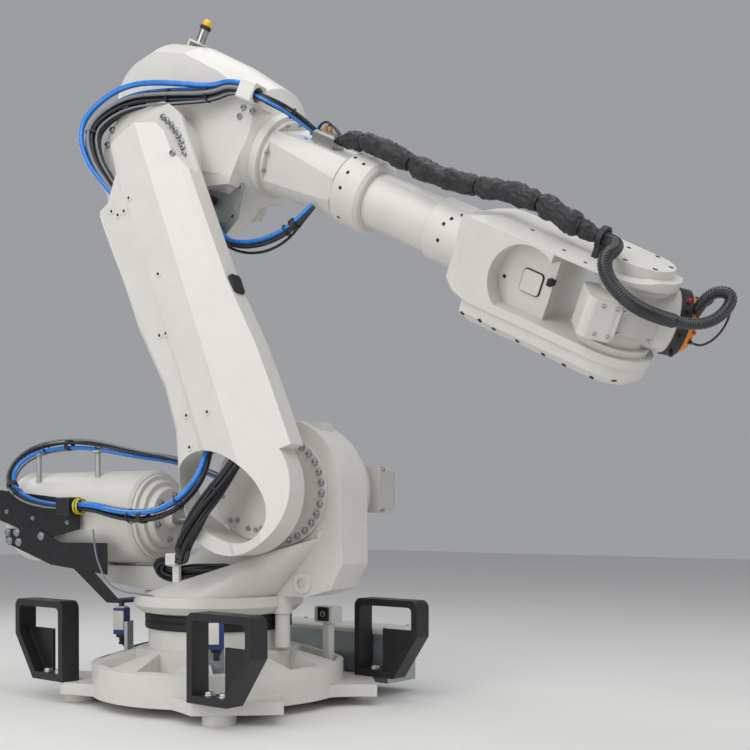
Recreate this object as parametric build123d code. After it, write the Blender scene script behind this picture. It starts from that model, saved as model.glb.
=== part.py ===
from build123d import *
import os
from math import cos, sin, tan, radians

# Rest pose, degrees: where each axis stands
REST_1 = 100.0
LEAN = 20.4
PITCH = 27.7
WRIST_TURN = 18.0
TILT = 36.5

# Arm geometry, millimetres
AXIS2_X = 320.0
AXIS2_Z = 780.0
LOWER_LENGTH = 1280.0
AXIS4_RISE = 200.0
WRIST_REACH = 1790.0
FLANGE_REACH = 214.0

# Clearances
FACE_GAP = 0.3
SHAFT_GAP = 0.05
SWEEP_GAP = 6.0

# Base casting
BASE_HALF_X = 455.0
BASE_HALF_Y = 575.0
BASE_CORNER = 215.0
SCALLOP_R_X = 1100.0
SCALLOP_DEEP_X = 60.0
SCALLOP_R_Y = 270.0
SCALLOP_DEEP_Y = 150.0
PAD_X = 350.0
PAD_Y = 380.0
PAD_R = 58.0
PAD_HEIGHT = 36.0
PLATE_TOP = 80.0
CONE_R = 468.0
CONE_WALL = 150.0
CONE_TOP_R = 288.0
CONE_TOP = 205.0
DRUM_R = 262.0
DRUM_TOP = 338.0
BASE_RIBS = 10
RIB_THICK = 34.0
RIB_WEB = 24.0
ANCHOR_HOLE_R = 14.0
CENTRE_PAD_R = 120.0
PIVOT_R = 100.0

# Fork lift pockets
POCKET_X = 422.0
POCKET_DEEP = 74.0
POCKET_IN = 342.0
POCKET_OUT = 642.0
POCKET_TOP = 376.0
POCKET_WALL = 26.0
POCKET_KNEE = 242.0
POCKET_FOOT = 530.0
POCKET_SHELF = 265.0
POCKET_ROUND = 30.0
POCKET_WEB = 12.0

# Connection box behind the base
BOX_NEAR = 466.0
BOX_FAR = 640.0
BOX_HALF = 440.0
BOX_LOW = 45.0
BOX_TOP = 232.0
BOX_LIP = 8.0
COVER_THICK = 22.0

# Switches and marker block on the base
SWITCH_R = 400.0
SWITCH_ANGLES = (-64.0, 46.0)
SWITCH_LOW = 235.0
SWITCH_TALL = 100.0
SWITCH_WIDE = 52.0
SWITCH_DEEP = 45.0
FOOT_THICK = 14.0
MARK_X = -265.0
MARK_Y = 315.0
MARK_LOW = 288.0
MARK_SIZE = 62.0
MARK_LONG = 84.0

# Turntable frame
FRAME_LOW = DRUM_TOP + FACE_GAP
BOWL_R = 318.0
BOWL_LIP = 26.0
BOWL_TOP = 402.0
NECK_TOP = 640.0
NECK_X = 300.0
NECK_LONG = 480.0
GEAR2_R = 255.0
GEAR2_FACE = -58.0
GEAR2_BACK = 120.0
GEAR2_CAP_R = 190.0
GEAR2_CAP = 70.0
RING2_R = 200.0
RING2_THICK = 14.0
FRAME_FRONT = 590.0
DECK_RISE = 225.0
DECK_RUN = 680.0
DECK_X = -200.0
DECK_Z = 386.0
DECK_LIP = 16.0
DECK_DEEP = 34.0
EYE_X = 357.0
EYE_LONG = 102.0
EYE_TOP = 1024.0
EYE_THICK = 78.0
POST_R = 27.0
POST_RADIUS = 308.0
POST_ANGLE = -5.0
POST_LOW = 216.0
POST_COLLAR = 9.0
MOTOR2_X = 418.0
MOTOR2_LONG = 170.0
MOTOR2_LOW = 693.0
MOTOR2_TALL = 187.0
MOTOR2_BACK = 330.0
MOTOR1_SIZE = 150.0
MOTOR1_Y = 240.0
MOTOR1_TOP = 720.0
MOTOR1_FOOT = 450.0

# Balancing cylinder
BAL_Y = -100.0
BAL_Z = 685.0
BAL_R = 177.0
BAL_REAR = -850.0
BAL_FRONT = -200.0
BAL_CAP = 110.0
BAL_CAP_R = 78.0
TAIL_LOW = 455.0
SADDLE_LOW = 500.0
SADDLE_REAR = -600.0
SADDLE_LONG = 180.0
SADDLE_WIDE = 220.0
ROD_R = 30.0
GLAND_R = 46.0
GLAND_LONG = 84.0
LUG_RADIUS = 300.0
LUG_R = 36.0
LUG_THICK = 24.0
LUG_SWEEP_LOW = 255.0
LUG_SWEEP_HIGH = 70.0

# Lower arm
ARM_FACE = -372.0
ARM_IN = -246.0
ARM_FLANGE = -264.0
ARM_LOW_R = 225.0
ARM_TOP_R = 206.0
ARM_HUB_R = 190.0
ARM_HUB_TIP_R = 112.0
ARM_HUB_TIP = -92.0
OVAL_X = -45.0
OVAL_Z = -10.0
OVAL_LONG = 205.0
OVAL_SHORT = 132.0
OVAL_TURN = -37.0
OVAL_FLOOR = -212.0
BUMPER_Z = 664.0

# Arm house
HOUSE_Y = 172.0
GEAR3_R = 186.0
GEAR3_CAP = 40.0
FLANGE4_R = 150.0
HOUSE_NOSE = 338.0
MOTOR3_HALF = 75.0
MOTOR3_LONG = 210.0
MOTOR4_X = -195.0
MOTOR4_Z = 275.0
MOTOR4_LONG = 206.0
LAMP_X = -195.0
LAMP_FOOT = 458.0
LAMP_R = 18.0
LAMP_NECK = 520.0
LAMP_TOP = 546.0

# Fore arm
ROOT_START = HOUSE_NOSE + FACE_GAP
ROOT_FLANGE = 34.0
ROOT_END = 690.0
ROOT_R = 132.0
ROOT_END_R = 118.0
ROOT_FLAT = 104.0
ROOT_CHEEK = 112.0
COLLAR_R = 126.0
COLLAR_BEVEL = 12.0
COLLAR_END = 814.0
TUBE_R = 94.0
TUBE_END = 1085.0
NECK_R = 106.0
NECK_END = 1215.0
FORK_TOP = 140.0
FORK_GAP = 110.0
FORK_WIDE = 150.0
FORK_SHOULDER = 60.0
FORK_END_R = 138.0
FORK_BEVEL = 24.0
GAP_DEEP = 212.0
DISH_S = 1505.0
DISH_Z = -14.0
DISH_R = 122.0
DISH_FLOOR = -78.0
HATCH = 70.0
HATCH_THICK = 8.0
COVER_UP = 26.0
COVER_DOWN = 64.0
COVER_EDGE = 16.0
FIT_S = 505.0
FIT_LONG = 96.0
FIT_WIDE = 70.0
FIT_TALL = 44.0
GUIDE_S = 1680.0
GUIDE_Y = -70.0
GUIDE_Z = 195.0
GUIDE_R = 36.0

# Tilt and flange
TILT_R = 98.0
TILT_HALF = FORK_GAP - FACE_GAP
TILT_BOSS_R = 118.0
TILT_BOSS = 22.0
TILT_NECK_R = 100.0
TILT_FRONT = 148.0
TILT_REAR = 118.0
MOTOR6_Y = -98.0
MOTOR6_HALF = 46.0
MOTOR6_BACK = 42.0
MOTOR6_FRONT = 78.0
RING_R = 104.0
RING_END = 184.0
DISC_R = 76.0
DISC_PCD = 100.0
DISC_HOLES = 6
DISC_HOLE_R = 5.0
JOURNAL_R = 40.0
JOURNAL_LONG = 30.0
WRIST_JOURNAL = 22.0

# Cables and their holders
TUBE_SIDES = 8
BUNDLE_R = 24.0
LEAD_R = 13.0
SLEEVE_R = 26.0
HOSE_R = 16.0
CLIP_WALL = 9.0
CLIP_ROOM = 1.5
PLATE_THICK = 6.0
SHELF_Y = -300.0
SHELF_CLIP = (-440.0, SHELF_Y - BUNDLE_R - CLIP_WALL, 725.0)
DECK_CLIP = (0.0, -262.0, 535.0)
ARM_CLIP = (300.0, -212.0, 352.0)
PLUG_Y = -106.0
HOSE_END = (112.0, -172.0, 54.0)

# Frames, each from the one before: x along the arm, y to its left
ROW = Rot(0, 0, REST_1)
LOWER = ROW * Pos(AXIS2_X, 0, AXIS2_Z) * Rot(0, -LEAN, 0)
UPPER = LOWER * Pos(0, 0, LOWER_LENGTH) * Rot(0, LEAN + PITCH, 0)
FORE = UPPER * Pos(0, 0, AXIS4_RISE) * Rot(WRIST_TURN, 0, 0)
TILTED = FORE * Pos(WRIST_REACH, 0, 0) * Rot(0, 0, TILT)


def cyl_x(r, x0, x1, y=0.0, z=0.0):
    return Pos((x0 + x1) / 2, y, z) * Rot(0, 90, 0) * Cylinder(r, abs(x1 - x0))


def cyl_y(r, y0, y1, x=0.0, z=0.0):
    return Pos(x, (y0 + y1) / 2, z) * Rot(90, 0, 0) * Cylinder(r, abs(y1 - y0))


def cyl_z(r, z0, z1, x=0.0, y=0.0):
    return Pos(x, y, (z0 + z1) / 2) * Cylinder(r, abs(z1 - z0))


def block(x0, x1, y0, y1, z0, z1):
    return Pos((x0 + x1) / 2, (y0 + y1) / 2, (z0 + z1) / 2) * Box(x1 - x0, y1 - y0, z1 - z0)


def slab_xz(points, y0, y1):
    """A polygon in the x, z plane, run from y0 to y1."""
    face = make_face(Polyline(*[(x, 0, z) for x, z in points], close=True))
    return Pos(0, y0, 0) * extrude(face, y1 - y0, dir=(0, 1, 0))


def slab_yz(points, x0, x1):
    """A polygon in the y, z plane, run from x0 to x1."""
    face = make_face(Polyline(*[(0, y, z) for y, z in points], close=True))
    return Pos(x0, 0, 0) * extrude(face, x1 - x0, dir=(1, 0, 0))


def slab_xy(points, z0, z1):
    """A polygon in the x, y plane, run from z0 to z1."""
    face = make_face(Polyline(*[(x, y, 0) for x, y in points], close=True))
    return Pos(0, 0, z0) * extrude(face, z1 - z0, dir=(0, 0, 1))


def turned_x(points, y=0.0, z=0.0):
    """A profile of (x, radius) points turned about a line along x."""
    face = make_face(Polyline(*[(x, 0, r) for x, r in points], close=True))
    return Pos(0, y, z) * revolve(face, Axis.X)


def turned_z(points):
    """A profile of (radius, z) points turned about the z axis."""
    face = make_face(Polyline(*[(r, 0, z) for r, z in points], close=True))
    return revolve(face, Axis.Z)


def tube(frame_points, r):
    """An eight-sided tube through points, with arcs as large as the runs allow."""
    points = [(frame * Pos(*p)).position for frame, p in frame_points]
    radii = []
    for a, b, c in zip(points, points[1:], points[2:]):
        run = min((b - a).length, (c - b).length)
        turn = (b - a).get_angle(c - b)
        radii.append(0.45 * run / tan(radians(turn) / 2))
    path = FilletPolyline(*points, radius=radii)
    return sweep(Plane(origin=path @ 0, z_dir=path % 0) * RegularPolygon(r, TUBE_SIDES), path=path)


# Base


def base_casting():
    x, y, c = BASE_HALF_X, BASE_HALF_Y, BASE_CORNER
    outline = [
        (x, y - c), (x - c, y), (c - x, y), (-x, y - c), (-x, c - y), (c - x, -y), (x - c, -y), (x, c - y),
    ]
    body = slab_xy(outline, PAD_HEIGHT, PLATE_TOP)
    for s in (-1, 1):
        body -= cyl_z(SCALLOP_R_X, 0, CONE_TOP, s * (x + SCALLOP_R_X - SCALLOP_DEEP_X), 0)
        body -= cyl_z(SCALLOP_R_Y, 0, CONE_TOP, 0, s * (y + SCALLOP_R_Y - SCALLOP_DEEP_Y))
    body += turned_z([
        (0, PAD_HEIGHT), (CONE_R, PAD_HEIGHT), (CONE_R, CONE_WALL), (CONE_TOP_R, CONE_TOP),
        (DRUM_R, CONE_TOP), (DRUM_R, DRUM_TOP), (0, DRUM_TOP),
    ])
    step = 360.0 / BASE_RIBS
    wide = 2 * CONE_TOP_R * sin(radians(step / 2)) - RIB_THICK
    for i in range(BASE_RIBS):
        low = CONE_WALL - RIB_WEB
        pocket = block(CONE_TOP_R + RIB_WEB / 2, CONE_R - RIB_WEB, -wide / 2, wide / 2, low, CONE_TOP + 10)
        body -= Rot(0, 0, step * (i + 0.5)) * pocket
    pads = [(px, py) for px in (-PAD_X, PAD_X) for py in (-PAD_Y, PAD_Y)]
    for px, py in pads:
        body += cyl_z(PAD_R, 0, PAD_HEIGHT, px, py)
    body += cyl_z(CENTRE_PAD_R, 0, PAD_HEIGHT)
    for px, py in pads:
        body -= cyl_z(ANCHOR_HOLE_R, -1, PLATE_TOP + RIB_WEB, px, py)
    return body - cyl_z(PIVOT_R + SHAFT_GAP, DRUM_TOP - JOURNAL_LONG - 4, DRUM_TOP + 1)


def pocket_outline(inset):
    """The pocket's five-sided frame, drawn in by an inset."""
    w = inset
    low = PLATE_TOP + w
    points = [
        (POCKET_IN + w, low), (POCKET_FOOT - w / 2, low), (POCKET_OUT - w, POCKET_KNEE + w / 4),
        (POCKET_OUT - w, POCKET_TOP - w), (POCKET_IN + w, POCKET_TOP - w),
    ]
    face = make_face(Polyline(*[(0, y, z) for y, z in points], close=True))
    return fillet(face.vertices().sort_by(Axis.Z)[-2:], POCKET_ROUND - w / 2)


def fork_pocket(sx, sy):
    x0 = POCKET_X - POCKET_DEEP / 2
    ring = Pos(x0, 0, 0) * extrude(pocket_outline(0), POCKET_DEEP, dir=(1, 0, 0))
    ring -= Pos(x0 - 1, 0, 0) * extrude(pocket_outline(POCKET_WALL), POCKET_DEEP + 2, dir=(1, 0, 0))
    w = POCKET_WALL / 2
    web = [
        (POCKET_IN + 130, PLATE_TOP + w), (POCKET_FOOT - w, PLATE_TOP + w),
        (POCKET_OUT - 2 * w, POCKET_KNEE), (POCKET_OUT - 2 * w, POCKET_SHELF),
        (POCKET_IN + 130, POCKET_SHELF),
    ]
    ring += slab_yz(web, x0 + POCKET_WEB, x0 + 2 * POCKET_WEB)
    if sx < 0:
        ring = mirror(ring, Plane.YZ)
    if sy < 0:
        ring = mirror(ring, Plane.XZ)
    return ring


def connection_box():
    body = block(-BOX_FAR, -BOX_NEAR, -BOX_HALF, BOX_HALF, BOX_LOW, BOX_TOP)
    bridge = BASE_HALF_X - SCALLOP_DEEP_X
    body += block(-BOX_NEAR, -bridge, -BASE_CORNER, BASE_CORNER, BOX_LOW, PLATE_TOP)
    return body - base_casting()


def connection_cover():
    y = BOX_HALF + BOX_LIP
    lid = block(-BOX_FAR - BOX_LIP, 2 - BOX_NEAR, -y, y, BOX_TOP, BOX_TOP + COVER_THICK)
    return chamfer(lid.edges().group_by(Axis.Z)[-1], BOX_LIP)


def base_switch(angle):
    """A limit switch with its plunger, on a bent foot beside the turntable."""
    low = SWITCH_LOW
    r0 = SWITCH_R - SWITCH_DEEP / 2
    body = block(r0, r0 + SWITCH_DEEP, -SWITCH_WIDE / 2, SWITCH_WIDE / 2, low, low + SWITCH_TALL)
    body += cyl_z(SWITCH_WIDE / 5, low + SWITCH_TALL, low + SWITCH_TALL + 20, SWITCH_R, 0)
    foot = block(r0 - FOOT_THICK, r0, -SWITCH_WIDE / 2, SWITCH_WIDE / 2, PLATE_TOP, low + SWITCH_TALL / 2)
    return Rot(0, 0, angle) * body, Rot(0, 0, angle) * foot - base_casting()


def base_marker():
    """The block with a square target beside the turntable, on its own stalk."""
    h, w = MARK_SIZE / 2, MARK_LONG / 2
    body = block(MARK_X - h, MARK_X + h, MARK_Y - w, MARK_Y + w, MARK_LOW, MARK_LOW + MARK_SIZE)
    stalk = block(MARK_X - h / 2, MARK_X + h / 2, MARK_Y - h / 2, MARK_Y + h / 2, PLATE_TOP, MARK_LOW)
    return chamfer(body.edges().filter_by(Axis.Y), h / 4) + (stalk - base_casting())


# Turntable frame


def neck_loft(inset):
    """The casting between the round bowl and the upright neck."""
    wide = GEAR2_BACK - GEAR2_FACE
    mid = (GEAR2_BACK + GEAR2_FACE) / 2
    across = 2 * (BOWL_R - 18 - inset)
    low = Pos(0, 0, BOWL_TOP) * RectangleRounded(across, across, across / 2 - 5)
    top = Pos(NECK_X, mid, NECK_TOP) * RectangleRounded(NECK_LONG - 2 * inset, wide - 2 * inset, 60 - inset)
    return loft([low, top], ruled=True)


def above_deck(drop):
    """Everything over the sloping cable deck on the lower arm's side."""
    slope = DECK_RISE / DECK_RUN
    far = DECK_X + DECK_RUN
    near = -BOWL_R - 50
    z_near = DECK_Z + (near - DECK_X) * slope - drop
    edge = [(near, z_near), (far, DECK_Z + DECK_RISE - drop), (far, NECK_TOP + 10), (near, NECK_TOP + 10)]
    return slab_xz(edge, near, GEAR2_FACE)


def lug_sweep():
    """The room that the rod's lug on the lower arm turns through."""
    reach = LUG_RADIUS + LUG_R + SWEEP_GAP
    low, high = radians(LUG_SWEEP_LOW), radians(LUG_SWEEP_HIGH)
    sector = [
        (0, 0), (reach * cos(low), reach * sin(low)), (-reach, -reach), (-reach, reach), (0, reach),
        (reach * cos(high), reach * sin(high)),
    ]
    room = cyl_y(reach, BAL_Y - LUG_R - SWEEP_GAP, GEAR2_FACE) & slab_xz(sector, BAL_Y - reach, 0)
    return Pos(AXIS2_X, 0, AXIS2_Z) * room


def turntable_frame():
    body = turned_z([
        (0, FRAME_LOW), (BOWL_R - 30, FRAME_LOW), (BOWL_R, FRAME_LOW + BOWL_LIP), (BOWL_R, BOWL_TOP),
        (0, BOWL_TOP),
    ])
    body += neck_loft(0)
    body -= above_deck(0)
    body -= neck_loft(DECK_LIP) & above_deck(DECK_DEEP)
    front = [
        (NECK_X - 180, BOWL_TOP), (430, BOWL_TOP), (FRAME_FRONT - 60, 430), (FRAME_FRONT - 12, 520),
        (AXIS2_X + GEAR2_R, AXIS2_Z), (AXIS2_X, AXIS2_Z), (AXIS2_X - 200, AXIS2_Z - 150),
        (NECK_X - 240, 560),
    ]
    body += slab_xz(front, GEAR2_FACE, GEAR2_BACK)
    body += cyl_y(GEAR2_R, GEAR2_FACE, GEAR2_BACK, AXIS2_X, AXIS2_Z)
    eye_y = (GEAR2_FACE + GEAR2_BACK) / 2
    body += block(EYE_X, EYE_X + EYE_LONG, eye_y - EYE_THICK / 2, eye_y + EYE_THICK / 2, AXIS2_Z, EYE_TOP)
    body += cyl_y(GEAR2_CAP_R, GEAR2_BACK, GEAR2_BACK + GEAR2_CAP, AXIS2_X + 40, AXIS2_Z)
    tail = [
        (-120, BOWL_TOP), (-60, SADDLE_LOW), (SADDLE_REAR, SADDLE_LOW), (SADDLE_REAR, TAIL_LOW), (-330, 425),
    ]
    body += slab_xz(tail, BAL_Y - 40, BAL_Y + 140)
    body -= lug_sweep()
    body += cyl_z(PIVOT_R, DRUM_TOP - JOURNAL_LONG, FRAME_LOW + 5)
    axle = JOURNAL_R + 30 + SHAFT_GAP
    return body - cyl_y(axle, GEAR2_FACE - 1, GEAR2_FACE + JOURNAL_LONG + 4, AXIS2_X, AXIS2_Z)


def gear2_ring():
    """The bolted ring that turns with the lower arm, in the lower arm's frame."""
    face = GEAR2_FACE - FACE_GAP
    return cyl_y(RING2_R, face - RING2_THICK, face) - cyl_y(ARM_HUB_TIP_R, face - RING2_THICK - 1, face + 1)


def stop_post():
    a = radians(POST_ANGLE)
    x = POST_RADIUS * cos(a)
    y = POST_RADIUS * sin(a)
    body = cyl_z(POST_R, POST_LOW, FRAME_LOW, x, y)
    body += cyl_z(POST_R + POST_COLLAR, FRAME_LOW, BOWL_TOP, x, y)
    return body - turntable_frame()


def motor(size, length, cap):
    """A square servo motor along +z with a bevelled body and a narrower end cap."""
    h = size / 2
    bevel = size / 12
    body = chamfer(block(-h, h, -h, h, 0, length - cap).edges().filter_by(Axis.Z), bevel)
    h -= bevel
    return body + block(-h, h, -h, h, length - cap, length)


def axis2_motor():
    y0 = GEAR2_BACK + GEAR2_CAP
    mid_x = MOTOR2_X + MOTOR2_LONG / 2
    mid_z = MOTOR2_LOW + MOTOR2_TALL / 2
    long = MOTOR2_BACK - y0
    return Pos(mid_x, y0, mid_z) * Rot(-90, 0, 0) * motor(MOTOR2_LONG, long, long / 4)


def axis1_motor():
    y = MOTOR1_Y + MOTOR1_SIZE / 2
    x = MOTOR1_SIZE / 4
    body = Pos(x, y, MOTOR1_FOOT) * motor(MOTOR1_SIZE, MOTOR1_TOP - MOTOR1_FOOT, 60)
    half = MOTOR1_SIZE / 2 + 13
    body += block(x - half, x + half, half, y + half, BOWL_TOP - 30, MOTOR1_FOOT)
    return body - turntable_frame()


def balancer_body():
    x0, x1, r = BAL_REAR, BAL_FRONT, BAL_R
    return turned_x([(x0, 0), (x0, r - 14), (x0 + 14, r), (x1 - 12, r), (x1, r - 12), (x1, 0)], BAL_Y, BAL_Z)


def balancer_front():
    """The stepped front cover and the rod's gland."""
    x, r = BAL_FRONT, BAL_R
    rings = [
        (x, 0), (x, r - 16), (x + 12, r - 20), (x + 12, r - 36), (x + 32, r - 44), (x + 32, r - 62),
        (x + 56, r - 70), (x + 56, GLAND_R), (x + GLAND_LONG, GLAND_R - 10), (x + GLAND_LONG, 0),
    ]
    return turned_x(rings, BAL_Y, BAL_Z)


def balancer_rod():
    return cyl_x(ROD_R, BAL_FRONT + GLAND_LONG, AXIS2_X - LUG_RADIUS - LUG_R - SWEEP_GAP, BAL_Y, BAL_Z)


def balancer_rear():
    x, r, far = BAL_REAR, BAL_CAP_R, BAL_REAR - BAL_CAP
    return turned_x([(far, 0), (far, r - 24), (far + 30, r), (x, r + 20), (x, 0)], BAL_Y, BAL_Z)


def balancer_saddle():
    x0, y = SADDLE_REAR, SADDLE_WIDE / 2
    body = block(x0, x0 + SADDLE_LONG, BAL_Y - y, BAL_Y + y, SADDLE_LOW, SADDLE_LOW + 95)
    return body - cyl_x(BAL_R, x0 - 1, x0 + SADDLE_LONG + 1, BAL_Y, BAL_Z)


# Lower arm


def lug_place():
    """The rod's pivot on the lower arm, in the arm's own frame."""
    a = radians(LEAN)
    dz = BAL_Z - AXIS2_Z
    dx = -((LUG_RADIUS * LUG_RADIUS - dz * dz) ** 0.5)
    return dx * cos(a) + dz * sin(a), -dx * sin(a) + dz * cos(a)


def arm_section(z, left, right):
    """The casting's faceted section at a height: two flats, a raised face and a sloping flank."""
    y0, y = ARM_IN, ARM_FACE
    points = [
        (left, y0), (left, y + 34), (left + 22, y + 14), (-70, y + 12), (-48, y), (70, y),
        (right - 28, y + 42), (right, y + 50), (right, y0),
    ]
    return make_face(Polyline(*[(px, py, z) for px, py in points], close=True))


def arm_blank():
    """The waisted casting between its two round ends."""
    low, top = -ARM_LOW_R, LOWER_LENGTH + ARM_TOP_R
    waist = [
        (low, -230, 250), (60, -222, 258), (280, -160, 252), (430, -152, 244), (680, -188, 212),
        (840, -192, 206), (1090, -212, 198), (top, -214, 196),
    ]
    body = loft([arm_section(*w) for w in waist], ruled=True)
    deep = ARM_FACE - 10
    ends = cyl_y(ARM_LOW_R, deep, ARM_IN) + cyl_y(ARM_TOP_R, deep, ARM_IN, 0, LOWER_LENGTH)
    ends += block(-400, 400, deep, ARM_IN, 60, LOWER_LENGTH)
    return body & ends


def arm_head_cut():
    """The step down to the bolted flange round the upper pivot, beside the tongue."""
    z = LOWER_LENGTH
    tongue = [
        (-300, z - 160), (-150, z - 130), (-75, z - 50), (-60, z + 50), (60, z + 71), (135, z + 42),
        (154, z), (160, z - 82), (205, z - 185), (400, z - 185), (400, z + 300), (-300, z + 300),
    ]
    return slab_xz(tongue, ARM_FACE - 10, ARM_FLANGE)


def lower_arm():
    body = arm_blank() - arm_head_cut()
    long = ARM_HUB_TIP - ARM_IN
    body += Pos(0, ARM_IN + long / 2, 0) * Rot(-90, 0, 0) * Cone(ARM_HUB_R, ARM_HUB_TIP_R, long)
    body += cyl_y(ARM_HUB_TIP_R, ARM_HUB_TIP, GEAR2_FACE - FACE_GAP)
    body += cyl_y(JOURNAL_R + 30, GEAR2_FACE - FACE_GAP - 5, GEAR2_FACE + JOURNAL_LONG)
    x, z = lug_place()
    body += cyl_y(LUG_R, BAL_Y - LUG_R, BAL_Y + LUG_R, x, z)
    link = [(x, z - LUG_R + 2), (x, z + LUG_R - 2), (0, ARM_HUB_TIP_R - 2), (0, 2 - ARM_HUB_TIP_R)]
    body += slab_xz(link, BAL_Y - LUG_R, BAL_Y - LUG_R + LUG_THICK)
    window = extrude(Plane.XZ * Ellipse(OVAL_SHORT, OVAL_LONG), OVAL_FLOOR - ARM_FACE + 10, dir=(0, 1, 0))
    body -= Pos(OVAL_X, ARM_FACE - 10, OVAL_Z) * Rot(0, OVAL_TURN, 0) * window
    return body - cyl_y(JOURNAL_R + 40 + SHAFT_GAP, ARM_IN - JOURNAL_LONG - 4, ARM_IN + 1, 0, LOWER_LENGTH)


def arm_bumper():
    """The black stop pad on the casting's right wall."""
    pad = block(180, 226, ARM_IN - 66, ARM_IN - 10, BUMPER_Z - 34, BUMPER_Z + 34)
    return chamfer(pad.edges().filter_by(Axis.X), 8) - arm_blank()


# Arm house


def arm_house():
    z = AXIS4_RISE
    dome = turned_x([
        (-414, 0), (-404, 70), (-344, 154), (-232, 230), (-87, 256), (100, 247), (HOUSE_NOSE - 50, 220),
        (HOUSE_NOSE, FLANGE4_R), (HOUSE_NOSE, 0),
    ], 0, z)
    body = dome & block(-500, 500, -HOUSE_Y, HOUSE_Y, -200, 600)
    chin = [
        (-300, z), (-200, -80), (-70, -172), (70, -172), (150, -30), (HOUSE_NOSE - 20, 40),
        (HOUSE_NOSE - 20, z),
    ]
    y = HOUSE_Y
    keel = [(-y, 500), (-y, 60), (50 - y, -180), (y - 50, -180), (y, 60), (y, 500)]
    body += slab_xz(chin, -HOUSE_Y, HOUSE_Y) & slab_yz(keel, -400, 400)
    body += cyl_y(GEAR3_R, ARM_IN + FACE_GAP, HOUSE_Y + GEAR3_CAP)
    body += cyl_y(JOURNAL_R + 40, ARM_IN - JOURNAL_LONG, ARM_IN + 5)
    return body - cyl_x(JOURNAL_R + 40 + SHAFT_GAP, HOUSE_NOSE - JOURNAL_LONG - 4, HOUSE_NOSE + 1, 0, z)


def axis3_motor():
    body = motor(2 * MOTOR3_HALF, MOTOR3_LONG, MOTOR3_LONG / 4)
    return Pos(0, HOUSE_Y + GEAR3_CAP, 0) * Rot(-90, 0, 0) * body


def axis4_motor():
    body = motor(2 * MOTOR3_HALF, MOTOR4_LONG, MOTOR4_LONG / 4)
    body = Pos(MOTOR4_X, HOUSE_Y, MOTOR4_Z) * Rot(-90, 0, 0) * body
    return body - cyl_y(GEAR3_R + 1, HOUSE_Y - 1, HOUSE_Y + GEAR3_CAP + 1)


def lamp_bracket():
    """The bent plate that carries the signal lamp."""
    x, r = LAMP_X, LAMP_R + 12
    body = block(x - r, x + r, -r, r, LAMP_FOOT - 8, LAMP_FOOT)
    body += block(x - r, x - r + 8, -r, r, LAMP_FOOT - 50, LAMP_FOOT)
    return body - arm_house()


def lamp_body():
    return cyl_z(LAMP_R, LAMP_FOOT, LAMP_NECK, LAMP_X, 0)


def lamp_cap():
    r = LAMP_R - 2
    dome = [(0, LAMP_NECK), (r, LAMP_NECK), (r, LAMP_TOP - 8), (r - 6, LAMP_TOP), (0, LAMP_TOP)]
    return Pos(LAMP_X, 0, 0) * turned_z(dome)


# Fore arm


def root_tube():
    s = ROOT_START
    body = turned_x([
        (s, 0), (s, FLANGE4_R), (s + ROOT_FLANGE, FLANGE4_R), (s + ROOT_FLANGE, ROOT_R),
        (ROOT_END, ROOT_END_R), (ROOT_END, 0),
    ])
    body -= block(s + ROOT_FLANGE + 16, ROOT_END + 1, -200, 200, ROOT_FLAT, 200)
    body -= block(s + ROOT_FLANGE + 16, ROOT_END + 1, -200, -ROOT_CHEEK, -200, 200)
    return body + cyl_x(JOURNAL_R + 40, s - JOURNAL_LONG, s + 5)


def collar():
    b, r, s, e = COLLAR_BEVEL, COLLAR_R, ROOT_END, COLLAR_END
    return turned_x([(s, 0), (s, r - b), (s + b, r), (e - b, r), (e, r - b), (e, 0)])


def extension_tube():
    return cyl_x(TUBE_R, COLLAR_END, TUBE_END)


def fork_plan(inset, start):
    """The fork's outline from above, drawn in by an inset."""
    s, w, r = start, FORK_WIDE - inset, FORK_END_R - inset
    side = [(s, -w), (WRIST_REACH, -r), (WRIST_REACH, r), (s, w)]
    return side, r


def wrist_fork():
    body = cyl_x(NECK_R, TUBE_END, NECK_END + 10)
    start = NECK_END + FORK_SHOULDER
    side, r = fork_plan(0, start)
    plan = [(NECK_END, -NECK_R)] + side + [(NECK_END, NECK_R)]
    fork = slab_xy(plan, -FORK_TOP, FORK_TOP) + cyl_z(r, -FORK_TOP, FORK_TOP, WRIST_REACH)
    h, b, w = FORK_TOP, FORK_BEVEL, FORK_WIDE + 1
    crown = [(-w, -h), (w, -h), (w, h - b), (w - 3 * b, h), (3 * b - w, h), (-w, h - b)]
    fork &= slab_yz(crown, NECK_END, WRIST_REACH + r + 1)
    back = [(NECK_END - 1, NECK_R), (start + 60, h + 1), (NECK_END - 1, h + 1)]
    fork -= slab_xz(back, -2 * w, 2 * w) + slab_xz([(x, -z) for x, z in back], -2 * w, 2 * w)
    fork -= block(WRIST_REACH - GAP_DEEP, WRIST_REACH + 2 * r, -2 * r, 2 * r, -FORK_GAP, FORK_GAP)
    dish = cyl_y(DISH_R, -2 * w, DISH_FLOOR, DISH_S, DISH_Z)
    fork -= dish & block(DISH_S - 200, WRIST_REACH, -2 * w, 0, -FORK_GAP, FORK_GAP)
    body += fork
    bore = FORK_GAP + WRIST_JOURNAL + 4
    for z0, z1 in ((-bore, 1 - FORK_GAP), (FORK_GAP - 1, bore)):
        body -= cyl_z(JOURNAL_R + SHAFT_GAP, z0, z1, WRIST_REACH)
    return body


def fork_hatch():
    """The square inspection lid on the dished wall."""
    h = HATCH / 2
    lid = block(DISH_S - h, DISH_S + h, DISH_FLOOR - HATCH_THICK, DISH_FLOOR, DISH_Z - h, DISH_Z + h)
    return fillet(lid.edges().filter_by(Axis.Y), h / 3)


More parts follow.
